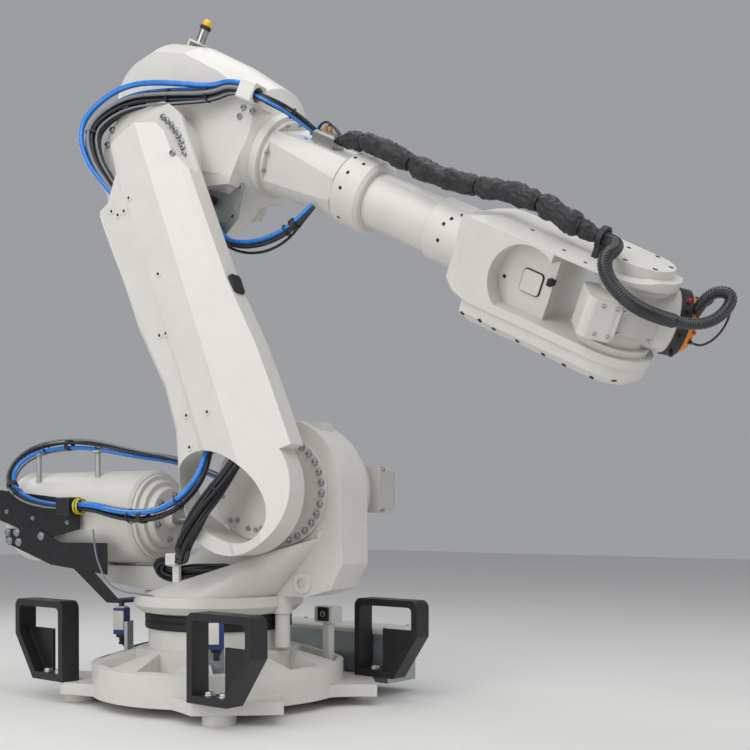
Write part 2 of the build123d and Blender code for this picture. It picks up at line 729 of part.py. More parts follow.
def fork_cover_upper():
    side, r = fork_plan(COVER_EDGE + 14, WRIST_REACH - 150)
    z0, z1 = FORK_TOP - 30, FORK_TOP + COVER_UP
    body = slab_xy(side, z0, z1) + cyl_z(r, z0, z1, WRIST_REACH)
    body -= wrist_fork() + cyl_z(JOURNAL_R + SHAFT_GAP, 0, FORK_TOP, WRIST_REACH)
    return body - block(GUIDE_S - 80, GUIDE_S + 40, GUIDE_Y - 60, GUIDE_Y + 50, FORK_TOP - 40, FORK_TOP + 80)


def fork_cover_lower():
    """The deep drive cover under the fork, bevelled round its lower rim."""
    side, r = fork_plan(COVER_EDGE / 2, NECK_END + FORK_SHOULDER + 40)
    z0, z1 = -FORK_TOP - COVER_DOWN, -FORK_TOP
    body = slab_xy(side, z0, z1) + cyl_z(r, z0, z1, WRIST_REACH)
    return chamfer(body.edges().group_by(Axis.Z)[0], COVER_EDGE + 10)


def fittings_block():
    """The valve block on the root tube's flat, with its bevelled body."""
    y = FIT_WIDE / 2
    body = block(FIT_S, FIT_S + FIT_LONG, -y, y, ROOT_FLAT, ROOT_FLAT + FIT_TALL)
    return chamfer(body.edges().group_by(Axis.Z)[-1], FIT_TALL / 6)


def hose_guide():
    """The ring that leads the hose off the sleeve, on a foot on the fork."""
    d = CLIP_WALL
    ring = cyl_x(GUIDE_R, GUIDE_S - d, GUIDE_S + d, GUIDE_Y, GUIDE_Z)
    foot = block(GUIDE_S - d, GUIDE_S + d, GUIDE_Y - 22, GUIDE_Y + 22, FORK_TOP - 30, GUIDE_Z)
    bore = cyl_x(SLEEVE_R + FACE_GAP, GUIDE_S - 2 * d, GUIDE_S + 2 * d, GUIDE_Y, GUIDE_Z)
    return ring + (foot - wrist_fork()) - bore


# Tilt and flange


def tilt_housing():
    body = cyl_z(TILT_R, -TILT_HALF, TILT_HALF)
    body += cyl_z(TILT_BOSS_R, -TILT_HALF, TILT_BOSS - TILT_HALF)
    body += cyl_z(TILT_BOSS_R, TILT_HALF - TILT_BOSS, TILT_HALF)
    body += cyl_x(TILT_NECK_R, 0, TILT_FRONT)
    h = MOTOR6_HALF + 12
    body += chamfer(block(-TILT_REAR, -MOTOR6_BACK, MOTOR6_Y - h, 0, -h, h).edges().filter_by(Axis.Y), h / 4)
    body += cyl_z(JOURNAL_R, -FORK_GAP - WRIST_JOURNAL, FORK_GAP + WRIST_JOURNAL)
    return body - cyl_x(JOURNAL_R + SHAFT_GAP, TILT_FRONT - JOURNAL_LONG - 4, TILT_FRONT + 1)


def axis6_motor():
    y, h = MOTOR6_Y, MOTOR6_HALF
    box = chamfer(block(-MOTOR6_BACK, MOTOR6_FRONT, y - h, y + h, -h, h).edges().filter_by(Axis.X), h / 4)
    return box - cyl_z(TILT_R, -200, 200) - cyl_x(TILT_NECK_R, -10, TILT_FRONT)


def hose_ring():
    body = cyl_x(RING_R, TILT_FRONT + FACE_GAP, RING_END)
    return body + cyl_x(JOURNAL_R, TILT_FRONT - JOURNAL_LONG, TILT_FRONT + 2)


def tool_disc():
    body = cyl_x(DISC_R, RING_END, FLANGE_REACH)
    for i in range(DISC_HOLES):
        a = radians(360.0 / DISC_HOLES * i)
        y = DISC_PCD / 2 * cos(a)
        z = DISC_PCD / 2 * sin(a)
        body -= cyl_x(DISC_HOLE_R, RING_END + 6, FLANGE_REACH + 1, y, z)
    return body


# Cable holders


def cable_shelf():
    """The folded plate along the balancing cylinder that the cables lie on."""
    upper = [(-840, 790), (-640, 770), (-420, 748), (-420, 640), (-600, 600), (-840, 672)]
    lower = [(-800, 640), (-620, 640), (-520, 590), (-280, 590), (-280, 475), (-560, 505), (-800, 585)]
    body = slab_xz(upper, SHELF_Y, SHELF_Y + PLATE_THICK) + slab_xz(lower, SHELF_Y - PLATE_THICK, SHELF_Y)
    x, z = SADDLE_REAR + 20, SADDLE_LOW + 10
    return body + block(x, x + 40, SHELF_Y, BAL_Y - SADDLE_WIDE / 2, z, z + 35)


def cable_strut():
    """The sloping plate from the shelf down to the turntable's bowl."""
    z = BOWL_TOP - 30
    band = [(-500, 530), (-410, 530), (-215, z), (-285, z)]
    foot = block(-285, -215, SHELF_Y, SHELF_Y + 140, z, z + 2 * PLATE_THICK)
    return slab_xz(band, SHELF_Y, SHELF_Y + PLATE_THICK) + foot - turntable_frame()


def clip(centre, r):
    """A split block clip round a cable that runs along x."""
    x, y, z = centre
    w = r + CLIP_WALL
    body = block(x - w, x + w, y - w, y + w, z - w, z + w)
    body = chamfer(body.edges().filter_by(Axis.X), CLIP_WALL / 2)
    return body - cyl_x(r + CLIP_ROOM, x - 2 * w, x + 2 * w, y, z)


def shelf_clip():
    return clip(SHELF_CLIP, BUNDLE_R)


def deck_clip():
    """The pale clip on the turntable's rim that turns the cables into the deck."""
    x, y, z = DECK_CLIP
    foot = block(x - 14, x + 14, y + 8, y + LEAD_R + CLIP_WALL, z - 84, z - LEAD_R - CLIP_WALL)
    return clip(DECK_CLIP, LEAD_R) + (foot - turntable_frame())


def arm_clip():
    """The hook on the arm house's nose that carries the cables past the wrist joint."""
    x, y, z = ARM_CLIP
    w = BUNDLE_R + CLIP_WALL
    foot = block(x - w, x + w, y + w, y + w + 70, z - w, z - w + 24)
    return clip(ARM_CLIP, BUNDLE_R) + (foot - arm_house())


def connector_plate():
    """The plate under the arm house with the wrist's connectors."""
    outline = [(188, 60), (330, 60), (362, -60), (330, -150), (250, -174), (188, -140)]
    return slab_xz(outline, PLUG_Y, PLUG_Y + PLATE_THICK) - arm_house()


# Cables: each runs from a clip or wall to the next one


def cable_low():
    """Cylinder shelf to the lower arm's window."""
    x, y, z = SHELF_CLIP
    route = [
        (x + FACE_GAP, y, z), (x + 110, y, z), (-200, y - 20, 697), (-40, y - 55, 684), (100, y - 78, 706),
        (185, y - 62, 770), (208, y - 16, 850), (200, y + 20, 930),
    ]
    return tube([(ROW, p) for p in route], BUNDLE_R) - LOWER * lower_arm()


def cable_black():
    """Deck clip to the lower arm's window."""
    x, y, z = DECK_CLIP
    route = [
        (x + FACE_GAP, y, z), (x + 50, y, z), (117, -362, 580), (205, -402, 676), (262, -345, 790),
        (350, -320, 915),
    ]
    return tube([(ROW, p) for p in route], LEAD_R) - LOWER * lower_arm()


def cable_loop():
    """Deck clip round the deck and into the turntable."""
    x, y, z = DECK_CLIP
    route = [
        (x - FACE_GAP, y, z), (x - 50, y, z), (x - 86, y + 12, z - 34), (-50, -224, 474), (40, -190, 484),
        (120, -172, 494), (185, -163, 506), (222, -160, 474),
    ]
    return tube([(ROW, p) for p in route], LEAD_R) - ROW * turntable_frame()


def cable_rear():
    """Cylinder shelf, up over the cylinder and into the turntable's gear."""
    x, y, z = SHELF_CLIP
    route = [
        (x - FACE_GAP, y, z), (x - 100, y, z), (-700, y + 4, 760), (-790, -300, 830), (-795, -245, 905),
        (-720, -215, 950), (-580, -200, 965), (-430, -190, 955), (-300, -140, 925), (-150, -40, 900),
        (-20, -10, 845), (75, 0, 815),
    ]
    return tube([(ROW, p) for p in route], LEAD_R) - ROW * turntable_frame()


def cable_top():
    """Lower arm's head to the hook on the arm house."""
    x, y, z = ARM_CLIP
    low = [(-112, -322, 1160), (-142, -326, 1245), (-170, -326, 1340), (-165, -316, 1450)]
    up = [
        (-232, -290, 70), (-150, -268, 165), (0, -246, 232), (150, -218, 292), (x - 80, y, z),
        (x - FACE_GAP, y, z),
    ]
    route = [(LOWER, p) for p in low] + [(UPPER, p) for p in up]
    return tube(route, BUNDLE_R) - LOWER * lower_arm()


def cable_nose():
    """Hook to the valve block on the fore arm."""
    x, y, z = ARM_CLIP
    s = FIT_S + 1
    route = [
        (UPPER, (x, y, z)), (UPPER, (x + 70, y, z)), (UPPER, (440, -128, 350)),
        (FORE, (s, 0, ROOT_FLAT + FIT_TALL / 2)),
    ]
    return tube(route, LEAD_R) - FORE * fittings_block()


def sleeve():
    """The wrapped bundle from the valve block to the guide on the fork."""
    s = FIT_S + FIT_LONG - 1
    g = GUIDE_S
    route = [
        (s, 0, ROOT_FLAT + SLEEVE_R + 2), (660, -2, 158), (760, -10, 176), (900, -18, 166), (1060, -30, 160),
        (1200, -42, 184), (1340, -54, 214), (1480, -64, 216), (g - 80, GUIDE_Y, GUIDE_Z),
        (g, GUIDE_Y, GUIDE_Z),
    ]
    return tube([(FORE, p) for p in route], SLEEVE_R) - FORE * fittings_block()


def hose():
    """The ribbed hose from the guide round the fork to the flange."""
    g = GUIDE_S
    route = [
        (g + FACE_GAP, GUIDE_Y, GUIDE_Z), (g + 46, GUIDE_Y, GUIDE_Z), (g + 72, GUIDE_Y - 54, GUIDE_Z),
        (g + 70, -186, 172), (1790, -206, 126), (1869, -190, 84),
    ]
    x, y, z = HOSE_END
    return tube([(FORE, p) for p in route] + [(TILTED, (x - 60, y, z)), (TILTED, HOSE_END)], HOSE_R)


def hose_tip():
    """The hose's last loop, past the flange and back to the disc's rim."""
    x, y, z = HOSE_END
    a = radians(135)
    rim_x = (RING_END + FLANGE_REACH) / 2
    rim = (rim_x, (DISC_R - 2) * cos(a), (DISC_R - 2) * sin(a))
    route = [
        (x + FACE_GAP, y, z), (x + 56, y, z), (x + 116, y - 4, z + 34), (x + 150, y + 26, z + 92),
        (x + 128, y + 52, z + 108), (rim_x, y + 82, z + 78), rim,
    ]
    return TILTED * (tube([(Pos(0, 0, 0), p) for p in route], LEAD_R) - tool_disc())


def cable_under():
    """Connector plate under the wrist joint to the fore arm's root."""
    y = PLUG_Y - LEAD_R - FACE_GAP
    route = [
        (290, y, -110), (345, y, -150), (430, y + 6, -138), (520, y + 14, -84), (600, y + 20, 0),
        (640, y + 24, 96),
    ]
    return tube([(UPPER, p) for p in route], LEAD_R) - FORE * root_tube()


def base_group():
    parts = {"base_casting": base_casting()}
    corners = (("front_left", 1, 1), ("rear_left", -1, 1), ("rear_right", -1, -1), ("front_right", 1, -1))
    for name, sx, sy in corners:
        parts["fork_pocket_" + name] = fork_pocket(sx, sy)
    parts["connection_box"] = connection_box()
    parts["connection_cover"] = connection_cover()
    for i, angle in enumerate(SWITCH_ANGLES):
        body, foot = base_switch(angle)
        parts["base_switch_%d" % (i + 1)] = body
        parts["switch_foot_%d" % (i + 1)] = foot
    parts["base_marker"] = base_marker()
    return parts


CABLES = (
    cable_low, cable_black, cable_loop, cable_rear, cable_top, cable_nose, sleeve, hose, hose_tip,
    cable_under,
)
GROUPS = (
    (ROW, (turntable_frame, stop_post, axis2_motor, axis1_motor, balancer_body, balancer_front, balancer_rod,
           balancer_rear, balancer_saddle, cable_shelf, cable_strut, shelf_clip, deck_clip)),
    (LOWER, (gear2_ring, lower_arm, arm_bumper)),
    (UPPER, (arm_house, axis3_motor, axis4_motor, lamp_bracket, lamp_body, lamp_cap, arm_clip,
             connector_plate)),
    (FORE, (root_tube, collar, extension_tube, wrist_fork, fork_hatch, fork_cover_upper, fork_cover_lower,
            fittings_block, hose_guide)),
    (TILTED, (tilt_housing, axis6_motor, hose_ring, tool_disc)),
)


def solids():
    parts = base_group()
    for frame, makers in GROUPS:
        for make in makers:
            parts[make.__name__] = frame * make()
    for make in CABLES:
        parts[make.__name__] = make()
    return parts


os.makedirs("parts", exist_ok=True)
for node, shape in solids().items():
    export_step(shape, "parts/" + node + ".step")
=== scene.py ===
from math import cos, pi, radians, sin, sqrt

import bmesh
import bpy
from mathutils import Matrix, Vector, noise
from mathutils.bvhtree import BVHTree


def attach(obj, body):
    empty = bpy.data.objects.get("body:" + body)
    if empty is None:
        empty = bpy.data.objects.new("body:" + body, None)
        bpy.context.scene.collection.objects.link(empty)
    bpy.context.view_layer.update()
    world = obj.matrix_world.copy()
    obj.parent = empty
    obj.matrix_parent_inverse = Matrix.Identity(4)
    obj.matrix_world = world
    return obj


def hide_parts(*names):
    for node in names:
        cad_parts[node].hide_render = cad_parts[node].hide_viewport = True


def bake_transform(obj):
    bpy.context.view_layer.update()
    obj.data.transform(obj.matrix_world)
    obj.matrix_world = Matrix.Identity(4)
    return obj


bl_info = {
    "name": "Six-axis handling arm",
    "version": (1, 0, 0),
    "blender": (4, 5, 0),
    "location": "View3D > Sidebar > Handling Arm",
    "description": "Dresses the arm's castings with finishes, cables, hoses and fasteners",
    "category": "Object",
}

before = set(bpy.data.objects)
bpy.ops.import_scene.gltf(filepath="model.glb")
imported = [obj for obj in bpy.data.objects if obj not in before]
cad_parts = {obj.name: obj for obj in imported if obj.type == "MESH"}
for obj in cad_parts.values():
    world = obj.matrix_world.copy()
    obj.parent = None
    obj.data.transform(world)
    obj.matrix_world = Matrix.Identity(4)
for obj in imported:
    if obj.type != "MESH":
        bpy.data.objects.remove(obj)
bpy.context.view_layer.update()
MM = 0.001

# Where the axes are, in millimetres: axis 2 in the row, axis 3 up the lower arm, axis 4 above axis 3,
# axis 5 along the fore arm, and y and z of the balancing cylinder in the row
SHOULDER = (320, 0, 780)
ELBOW = 1280
ROLL_RISE = 200
WRIST = 1790
CYLINDER = (-100, 685)


def joint_space(parent, shift, turn, axis):
    """A space shifted in millimetres and turned in degrees from the one before."""
    return parent @ Matrix.Translation(Vector(shift) * MM) @ Matrix.Rotation(radians(turn), 4, axis)


# Spaces of the base, of the row that the turntable points along, and of each link, x along the fore arm
BASE = Matrix.Identity(4)
ROW = Matrix.Rotation(radians(100), 4, "Z")
LOWER = joint_space(ROW, SHOULDER, -20.4, "Y")
UPPER = joint_space(LOWER, (0, 0, ELBOW), 48.1, "Y")
FORE = joint_space(UPPER, (0, 0, ROLL_RISE), 18, "X")
TILTED = joint_space(FORE, (WRIST, 0, 0), 36.5, "Z")
FRONT, BACK, AHEAD, BEHIND, UP, DOWN = (0, -1, 0), (0, 1, 0), (1, 0, 0), (-1, 0, 0), (0, 0, 1), (0, 0, -1)


def at(space, point):
    """A point in millimetres of a space, in metres of the part's frame."""
    return space @ (Vector(point) * MM)


def along(space, direction):
    return (space.to_3x3() @ Vector(direction)).normalized()


def linear(code):
    """An sRGB hex colour as linear red, green and blue."""
    values = [int(code[i:i + 2], 16) / 255 for i in (1, 3, 5)]
    return tuple(v / 12.92 if v <= 0.04045 else ((v + 0.055) / 1.055) ** 2.4 for v in values)


def colour_prop(name, description, code):
    return bpy.props.FloatVectorProperty(
        name=name, description=description, subtype="COLOR", size=3, min=0.0, max=1.0, default=linear(code),
    )


def size_prop(name, description, value):
    return bpy.props.FloatProperty(
        name=name, description=description, default=value, min=0.0, unit="LENGTH", precision=4,
    )


class ArmFinishSettings(bpy.types.PropertyGroup):
    """Colours of the arm's finishes."""

    paint: colour_prop("Paint", "Warm grey casting paint", "#D3D0CA")
    motor: colour_prop("Motor paint", "Grey paint of the motors", "#B9B6B1")
    black: colour_prop("Black coat", "Powder coat of the lift pockets and plates", "#17181A")
    blue: colour_prop("Air hose", "Blue of the air hoses", "#1B78D0")
    sheath: colour_prop("Cable sheath", "Black of the cable sheaths", "#202226")
    grey: colour_prop("Grey lead", "Grey of the thin leads", "#7C8085")
    red: colour_prop("Red plug", "Red of the flange's plugs", "#C22A20")
    sleeve: colour_prop("Sleeve", "Woven wrap along the fore arm", "#1D1D21")
    orange: colour_prop("Tool disc", "Orange coat of the tool disc", "#E08A14")
    amber: colour_prop("Lamp lens", "Lens of the signal lamp", "#F2B90C")
    switch: colour_prop("Switch", "Blue body of the limit switches", "#2B3A78")
    pale: colour_prop("Pale plastic", "Clips and switch covers", "#DAD8D2")
    clamp: colour_prop("Clamp", "Yellow clamp on the shelf", "#D9C21A")


class ArmCableSettings(bpy.types.PropertyGroup):
    """Sizes of the cables and hoses."""

    hose_radius: size_prop("Hose radius", "Outer radius of the ribbed hose", 0.021)
    rib_pitch: size_prop("Rib pitch", "Distance between the hose's ribs", 0.0075)
    sleeve_radius: size_prop("Sleeve radius", "Mean radius of the woven sleeve", 0.034)
    lead_radius: size_prop("Lead radius", "Radius of the thin leads and tubes", 0.0035)


class ArmBoltSettings(bpy.types.PropertyGroup):
    """Radii of the fasteners, fittings and holes."""

    ring: size_prop("Ring screw", "Head radius of the gear rings' screws", 0.0105)
    small: size_prop("Cover screw", "Head radius of the covers' screws", 0.0065)
    pocket: size_prop("Pocket bolt", "Head radius of the lift pockets' bolts", 0.017)
    plate: size_prop("Plate bolt", "Head radius of the shelf's bolts", 0.0095)
    boss: size_prop("Cast boss", "Radius of the cast bosses on the lower arm", 0.011)
    fitting: size_prop("Air fitting", "Radius of the push-in fittings", 0.0075)
    gland: size_prop("Cable gland", "Radius of the switches' glands and the marker's target", 0.012)
    cap: size_prop("Switch cap", "Radius of the caps on the switches", 0.008)
    plug: size_prop("Connector", "Radius of the connectors on the upper arm's plate", 0.017)
    hole: size_prop("Plate hole", "Radius of the holes in the upper arm's plate", 0.0055)
    clamp: size_prop("Clamp ring", "Radius of the clamp's rings on the shelf", 0.027)


class ArmStageSettings(bpy.types.PropertyGroup):
    """Floor and light."""

    floor: colour_prop("Floor", "Colour of the floor", "#E4E3E0")
    sky: colour_prop("Room light", "Tint of the light from all round", "#F7F9FF")
    light: bpy.props.FloatProperty(
        name="Light", description="Strength of the lamps", default=1.0, min=0.0, max=5.0, subtype="FACTOR",
    )


# Materials

EDGE_COSINES = (0.99, 0.86)  # between the softened and the true normal, on a flat face and on a full edge
EDGE_SHARE = 0.55            # of the worn colour on a full edge
TINT_STOPS = (0.3, 0.72)     # of the noise, where the darker and the paler tone are reached
DUST_STOPS = (0.35, 0.75)    # the same on the woven wrap
GLOSS_SPREAD = (-0.06, 0.07)  # of the roughness over the patches
GRAIN_HEIGHT = 0.4 * MM
THREAD_HEIGHT = 0.5 * MM
WAVES_PER_UNIT = 20          # that a wave texture draws at a scale of 1


def add(tree, kind, links=None, **settings):
    """One node with its settings, and its inputs linked or set by name."""
    node = tree.nodes.new(kind)
    for key, value in settings.items():
        setattr(node, key, value)
    for name, value in (links or {}).items():
        socket = node.inputs[name]
        if isinstance(value, bpy.types.NodeSocket):
            tree.links.new(value, socket)
        else:
            socket.default_value = value
    return node


def shade(colour, factor):
    return tuple(min(1.0, c * factor) for c in colour) + (1.0,)


def new_surface(name):
    mat = bpy.data.materials.new(name)
    mat.use_nodes = True
    mat.node_tree.nodes.clear()
    return mat, mat.node_tree


def finish(name, colour, rough, metal=0.0, patch=70.0, vary=0.05, grain=1.6, depth=0.05, edge=2.0,
           worn=1.12, coat=0.0, pattern=None):
    """A surface with patchy colour, grain and softened, slightly worn edges.

    Patch, grain and edge are in millimetres. The grain is drawn coarser than the real one, so that it shows.
    """
    mat, tree = new_surface(name)
    coord = add(tree, "ShaderNodeTexCoord").outputs["Object"]
    cloud = add(tree, "ShaderNodeTexNoise", {
        "Vector": coord, "Scale": 1000 / patch, "Detail": 5.0, "Roughness": 0.62,
    })
    field = cloud.outputs["Fac"]
    if pattern == "spangle":
        cells = add(tree, "ShaderNodeTexVoronoi", {"Vector": coord, "Scale": 1000 / patch})
        field = add(tree, "ShaderNodeSeparateColor", {"Color": cells.outputs["Color"]}).outputs["Red"]
    if pattern == "brushed":
        lines = add(tree, "ShaderNodeMapping", {"Vector": coord, "Scale": (1.0, 1.0, 40.0)})
        field = add(tree, "ShaderNodeTexNoise", {
            "Vector": lines.outputs["Vector"], "Scale": 1000 / patch, "Detail": 3.0,
        }).outputs["Fac"]
    tint = add(tree, "ShaderNodeValToRGB", {"Fac": field})
    for i, factor in enumerate((1.0 - vary, 1.0 + vary)):
        tint.color_ramp.elements[i].position = TINT_STOPS[i]
        tint.color_ramp.elements[i].color = shade(colour, factor)
    soft = add(tree, "ShaderNodeBevel", {"Radius": edge * MM}, samples=4)
    face = add(tree, "ShaderNodeNewGeometry")
    same = add(tree, "ShaderNodeVectorMath", {0: soft.outputs["Normal"], 1: face.outputs["Normal"]},
               operation="DOT_PRODUCT")
    rim = add(tree, "ShaderNodeMapRange", {
        "Value": same.outputs["Value"], "From Min": EDGE_COSINES[0], "From Max": EDGE_COSINES[1],
        "To Min": 0.0, "To Max": EDGE_SHARE,
    })
    base = add(tree, "ShaderNodeMixRGB", {
        "Fac": rim.outputs["Result"], "Color1": tint.outputs["Color"], "Color2": shade(colour, worn),
    })
    gloss = add(tree, "ShaderNodeMapRange", {
        "Value": field, "From Min": 0.25, "From Max": 0.75,
        "To Min": rough + GLOSS_SPREAD[0], "To Max": rough + GLOSS_SPREAD[1],
    })
    fine = add(tree, "ShaderNodeTexNoise", {"Vector": coord, "Scale": 1000 / grain, "Detail": 2.0})
    bump = add(tree, "ShaderNodeBump", {
        "Strength": depth, "Distance": GRAIN_HEIGHT, "Height": fine.outputs["Fac"],
        "Normal": soft.outputs["Normal"],
    })
    body = add(tree, "ShaderNodeBsdfPrincipled", {
        "Base Color": base.outputs["Color"], "Roughness": gloss.outputs["Result"], "Metallic": metal,
        "Coat Weight": coat, "Coat Roughness": 0.12, "Normal": bump.outputs["Normal"],
    })
    add(tree, "ShaderNodeOutputMaterial", {"Surface": body.outputs["BSDF"]})
    return mat


def woven(name, colour, thread):
    """Woven wrap: two thread directions on the piece's own map, dull, dusty and with a faint sheen.

    The thread is drawn several times coarser than the real one, so that it shows.
    """
    mat, tree = new_surface(name)
    place = add(tree, "ShaderNodeTexCoord")
    waves = []
    for way in ("X", "Y"):
        wave = add(tree, "ShaderNodeTexWave", {
            "Vector": place.outputs["UV"], "Scale": 1000 / thread / WAVES_PER_UNIT, "Distortion": 0.6,
            "Detail": 1.0,
        }, bands_direction=way)
        waves.append(wave.outputs["Fac"])
    weave = add(tree, "ShaderNodeMath", {0: waves[0], 1: waves[1]}, operation="MULTIPLY")
    dust = add(tree, "ShaderNodeTexNoise", {"Vector": place.outputs["Object"], "Scale": 28.0, "Detail": 4.0})
    tint = add(tree, "ShaderNodeValToRGB", {"Fac": dust.outputs["Fac"]})
    for i, factor in enumerate((0.7, 1.7)):
        tint.color_ramp.elements[i].position = DUST_STOPS[i]
        tint.color_ramp.elements[i].color = shade(colour, factor)
    bump = add(tree, "ShaderNodeBump", {
        "Strength": 0.35, "Distance": THREAD_HEIGHT, "Height": weave.outputs["Value"],
    })
    body = add(tree, "ShaderNodeBsdfPrincipled", {
        "Base Color": tint.outputs["Color"], "Roughness": 0.55, "Sheen Weight": 0.14,
        "Normal": bump.outputs["Normal"],
    })
    add(tree, "ShaderNodeOutputMaterial", {"Surface": body.outputs["BSDF"]})
    return mat


FINISHES = {}


def make_finishes(look):
    FINISHES.update({
        # Two-pack paint on rough castings: satin, faint orange peel, paler where edges are rubbed
        "paint": finish("cast_iron_satin_paint", look.paint, 0.36, patch=110, vary=0.035, grain=3.2,
                        depth=0.16, edge=3.5),
        # Sprayed motor housings: the same satin, a tone darker
        "motor": finish("aluminium_grey_paint", look.motor, 0.4, patch=80, vary=0.04, grain=2.4, depth=0.1),
        # Powder coat: deep black, fine texture, grey where it is scuffed
        "black_metal": finish("black_powder_coat", look.black, 0.42, patch=45, vary=0.3, grain=2.0, depth=0.3,
                              edge=4.0, worn=2.6),
        # Hot-dip galvanised sheet: small soft spangle
        "galvanised": finish("galvanised_sheet", linear("#A9AFB3"), 0.42, metal=0.85, patch=7, vary=0.06,
                             grain=3, edge=1.0, pattern="spangle"),
        # Turned steel: fine lathe lines that streak the highlights
        "steel": finish("turned_steel", linear("#B4B3B0"), 0.28, metal=1.0, patch=24, vary=0.12, edge=0.8,
                        pattern="brushed"),
        # Bright zinc plate on fasteners: small sharp highlights
        "zinc": finish("zinc_plated_steel", linear("#B9BBBD"), 0.3, metal=1.0, patch=12, vary=0.1, edge=0.6),
        # Moulded plastics: an even satin with soft edges, a little scuffed on the black
        "black_plastic": finish("black_moulded_plastic", linear("#1C1D20"), 0.48, patch=30, vary=0.2,
                                grain=1.2, depth=0.1, edge=1.2, worn=1.8),
        "white_plastic": finish("pale_moulded_plastic", look.pale, 0.45, patch=30, vary=0.03, edge=1.0),
        "switch": finish("blue_moulded_plastic", look.switch, 0.45, patch=20, vary=0.1, edge=1.2),
        "red_plug": finish("red_moulded_plastic", look.red, 0.3, patch=25, vary=0.1, edge=0.5),
        # Anodised disc: bright satin colour over machined metal
        "orange": finish("orange_anodised_aluminium", look.orange, 0.34, metal=0.25, patch=25, vary=0.1,
                         edge=1.0),
        # Lamp lens: deep amber under a clear gloss
        "lamp": finish("amber_lens", look.amber, 0.15, patch=20, vary=0.06, edge=1.0, coat=0.5),
        # Extruded sheaths and hoses: smooth, dusty black, glossy black on the ribs, glossy blue
        "cable": finish("black_pur_sheath", look.sheath, 0.4, patch=25, vary=0.3, grain=1.5, edge=0.5,
                        worn=1.3),
        "ribbed": finish("black_ribbed_hose", look.sheath, 0.27, patch=30, vary=0.2, grain=1.5, edge=0.4,
                         coat=0.25),
        "cable_blue": finish("blue_air_hose", look.blue, 0.26, patch=35, vary=0.1, edge=0.5, coat=0.3),
        "grey_lead": finish("grey_pvc_lead", look.grey, 0.45, patch=25, vary=0.12, edge=0.5),
        "sleeve": woven("black_woven_wrap", look.sleeve, 2.4),
        # Brass fittings and the yellow clamp: warm metal, a little dulled
        "brass": finish("nickel_brass", linear("#B98F45"), 0.3, metal=1.0, patch=10, vary=0.12, edge=0.5),
        "clamp": finish("yellow_zinc_clamp", look.clamp, 0.38, metal=0.3, patch=14, vary=0.1, edge=0.8),
        # Blank film: flat pale blue
        "label": finish("blank_film", linear("#A9C8EA"), 0.4, patch=30, vary=0.03, edge=0.4),
        # Rubber of joints and seals, no gloss; the same near-black on discs in holes and recesses is painted
        # shade, in place of their depth
        "dark": finish("black_rubber_and_painted_hole_shade", linear("#121214"), 0.6, patch=20, vary=0.3, edge=0.5),
    })


# The castings' nodes have the paint, and the others these
NODE_FINISH = {
    "black_metal": ("fork_pocket_front_left", "fork_pocket_rear_left", "fork_pocket_rear_right",
                    "fork_pocket_front_right", "cable_shelf", "cable_strut"),
    "galvanised": ("connection_box", "switch_foot_1", "switch_foot_2", "connector_plate"),
    "steel": ("lamp_body", "balancer_rod", "fittings_block"),
    "motor": ("axis2_motor", "axis3_motor", "axis4_motor", "axis6_motor", "axis1_motor"),
    "black_plastic": ("hose_ring", "arm_bumper", "hose_guide", "shelf_clip"),
    "white_plastic": ("deck_clip", "arm_clip"),
    "orange": ("tool_disc",),
    "lamp": ("lamp_cap",),
    "switch": ("base_switch_1", "base_switch_2"),
}


# Meshes


def linked(name, data):
    """A new object in the scene."""
    obj = bpy.data.objects.new(name, data)
    bpy.context.scene.collection.objects.link(obj)
    return obj


def evaluated(obj):
    """The plain mesh that an object's spline or modifier gives; the object is removed."""
    graph = bpy.context.evaluated_depsgraph_get()
    mesh = bpy.data.meshes.new_from_object(obj.evaluated_get(graph), depsgraph=graph)
    bpy.data.objects.remove(obj)
    return mesh


def piece(name, mesh, body, replaces=(), blend=None):
    """A finished mesh as a piece: it rides on a body, or, when a blend is given, stays unparented in the
    part's frame.
    """
    obj = linked(name, mesh)
    if blend:
        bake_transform(obj)
    else:
        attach(obj, body)
    if replaces:
        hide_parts(*replaces)
    return obj


def mesh_from(bm, name):
    mesh = bpy.data.meshes.new(name)
    bm.to_mesh(mesh)
    bm.free()
    return mesh


def turned_mesh(name, profile, sides=12, loop=False):
    """A profile of (radius, height) turned about z; a third value makes that ring a hexagon."""
    bm = bmesh.new()
    rings = []
    for radius, height, *six in profile:
        ring = []
        for i in range(sides if radius else 1):
            a = 2 * pi * i / sides
            r = radius * cos(pi / 6) / cos(a % (pi / 3) - pi / 6) if six else radius
            ring.append(bm.verts.new((r * cos(a), r * sin(a), height)))
        rings.append(ring)
    for low, high in zip(rings, rings[1:]):
        for i in range(sides):
            j = (i + 1) % sides
            corners = [low[i % len(low)], low[j % len(low)], high[j % len(high)], high[i % len(high)]]
            bm.faces.new(list(dict.fromkeys(corners)))
    if loop:
        bmesh.ops.remove_doubles(bm, verts=bm.verts, dist=1e-6)
    elif len(rings[0]) > 1:
        bm.faces.new(reversed(rings[0]))
    return mesh_from(bm, name)


def turned_piece(name, section, sides, mat, body, place=BASE):
    """A ring from its closed section in millimetres, turned about the place's z axis."""
    mesh = turned_mesh(name, [(r * MM, z * MM) for r, z in section], sides, loop=True)
    mesh.transform(place)
    mesh.materials.append(FINISHES[mat])
    return piece(name, mesh, body)


def add_block(bm, space, low, high, bevel):
    """A bevelled block between two corners, in millimetres of a space, added to a bmesh."""
    made = bmesh.ops.create_cube(bm, size=1.0)
    size = [b - a for a, b in zip(low, high)]
    middle = [(a + b) / 2 for a, b in zip(low, high)]
    for v in made["verts"]:
        v.co = at(space, [m + c * s for m, c, s in zip(middle, v.co, size)])
    edges = list({e for v in made["verts"] for e in v.link_edges})
    bmesh.ops.bevel(bm, geom=edges, offset=bevel * MM, segments=2, affect="EDGES", profile=0.5)


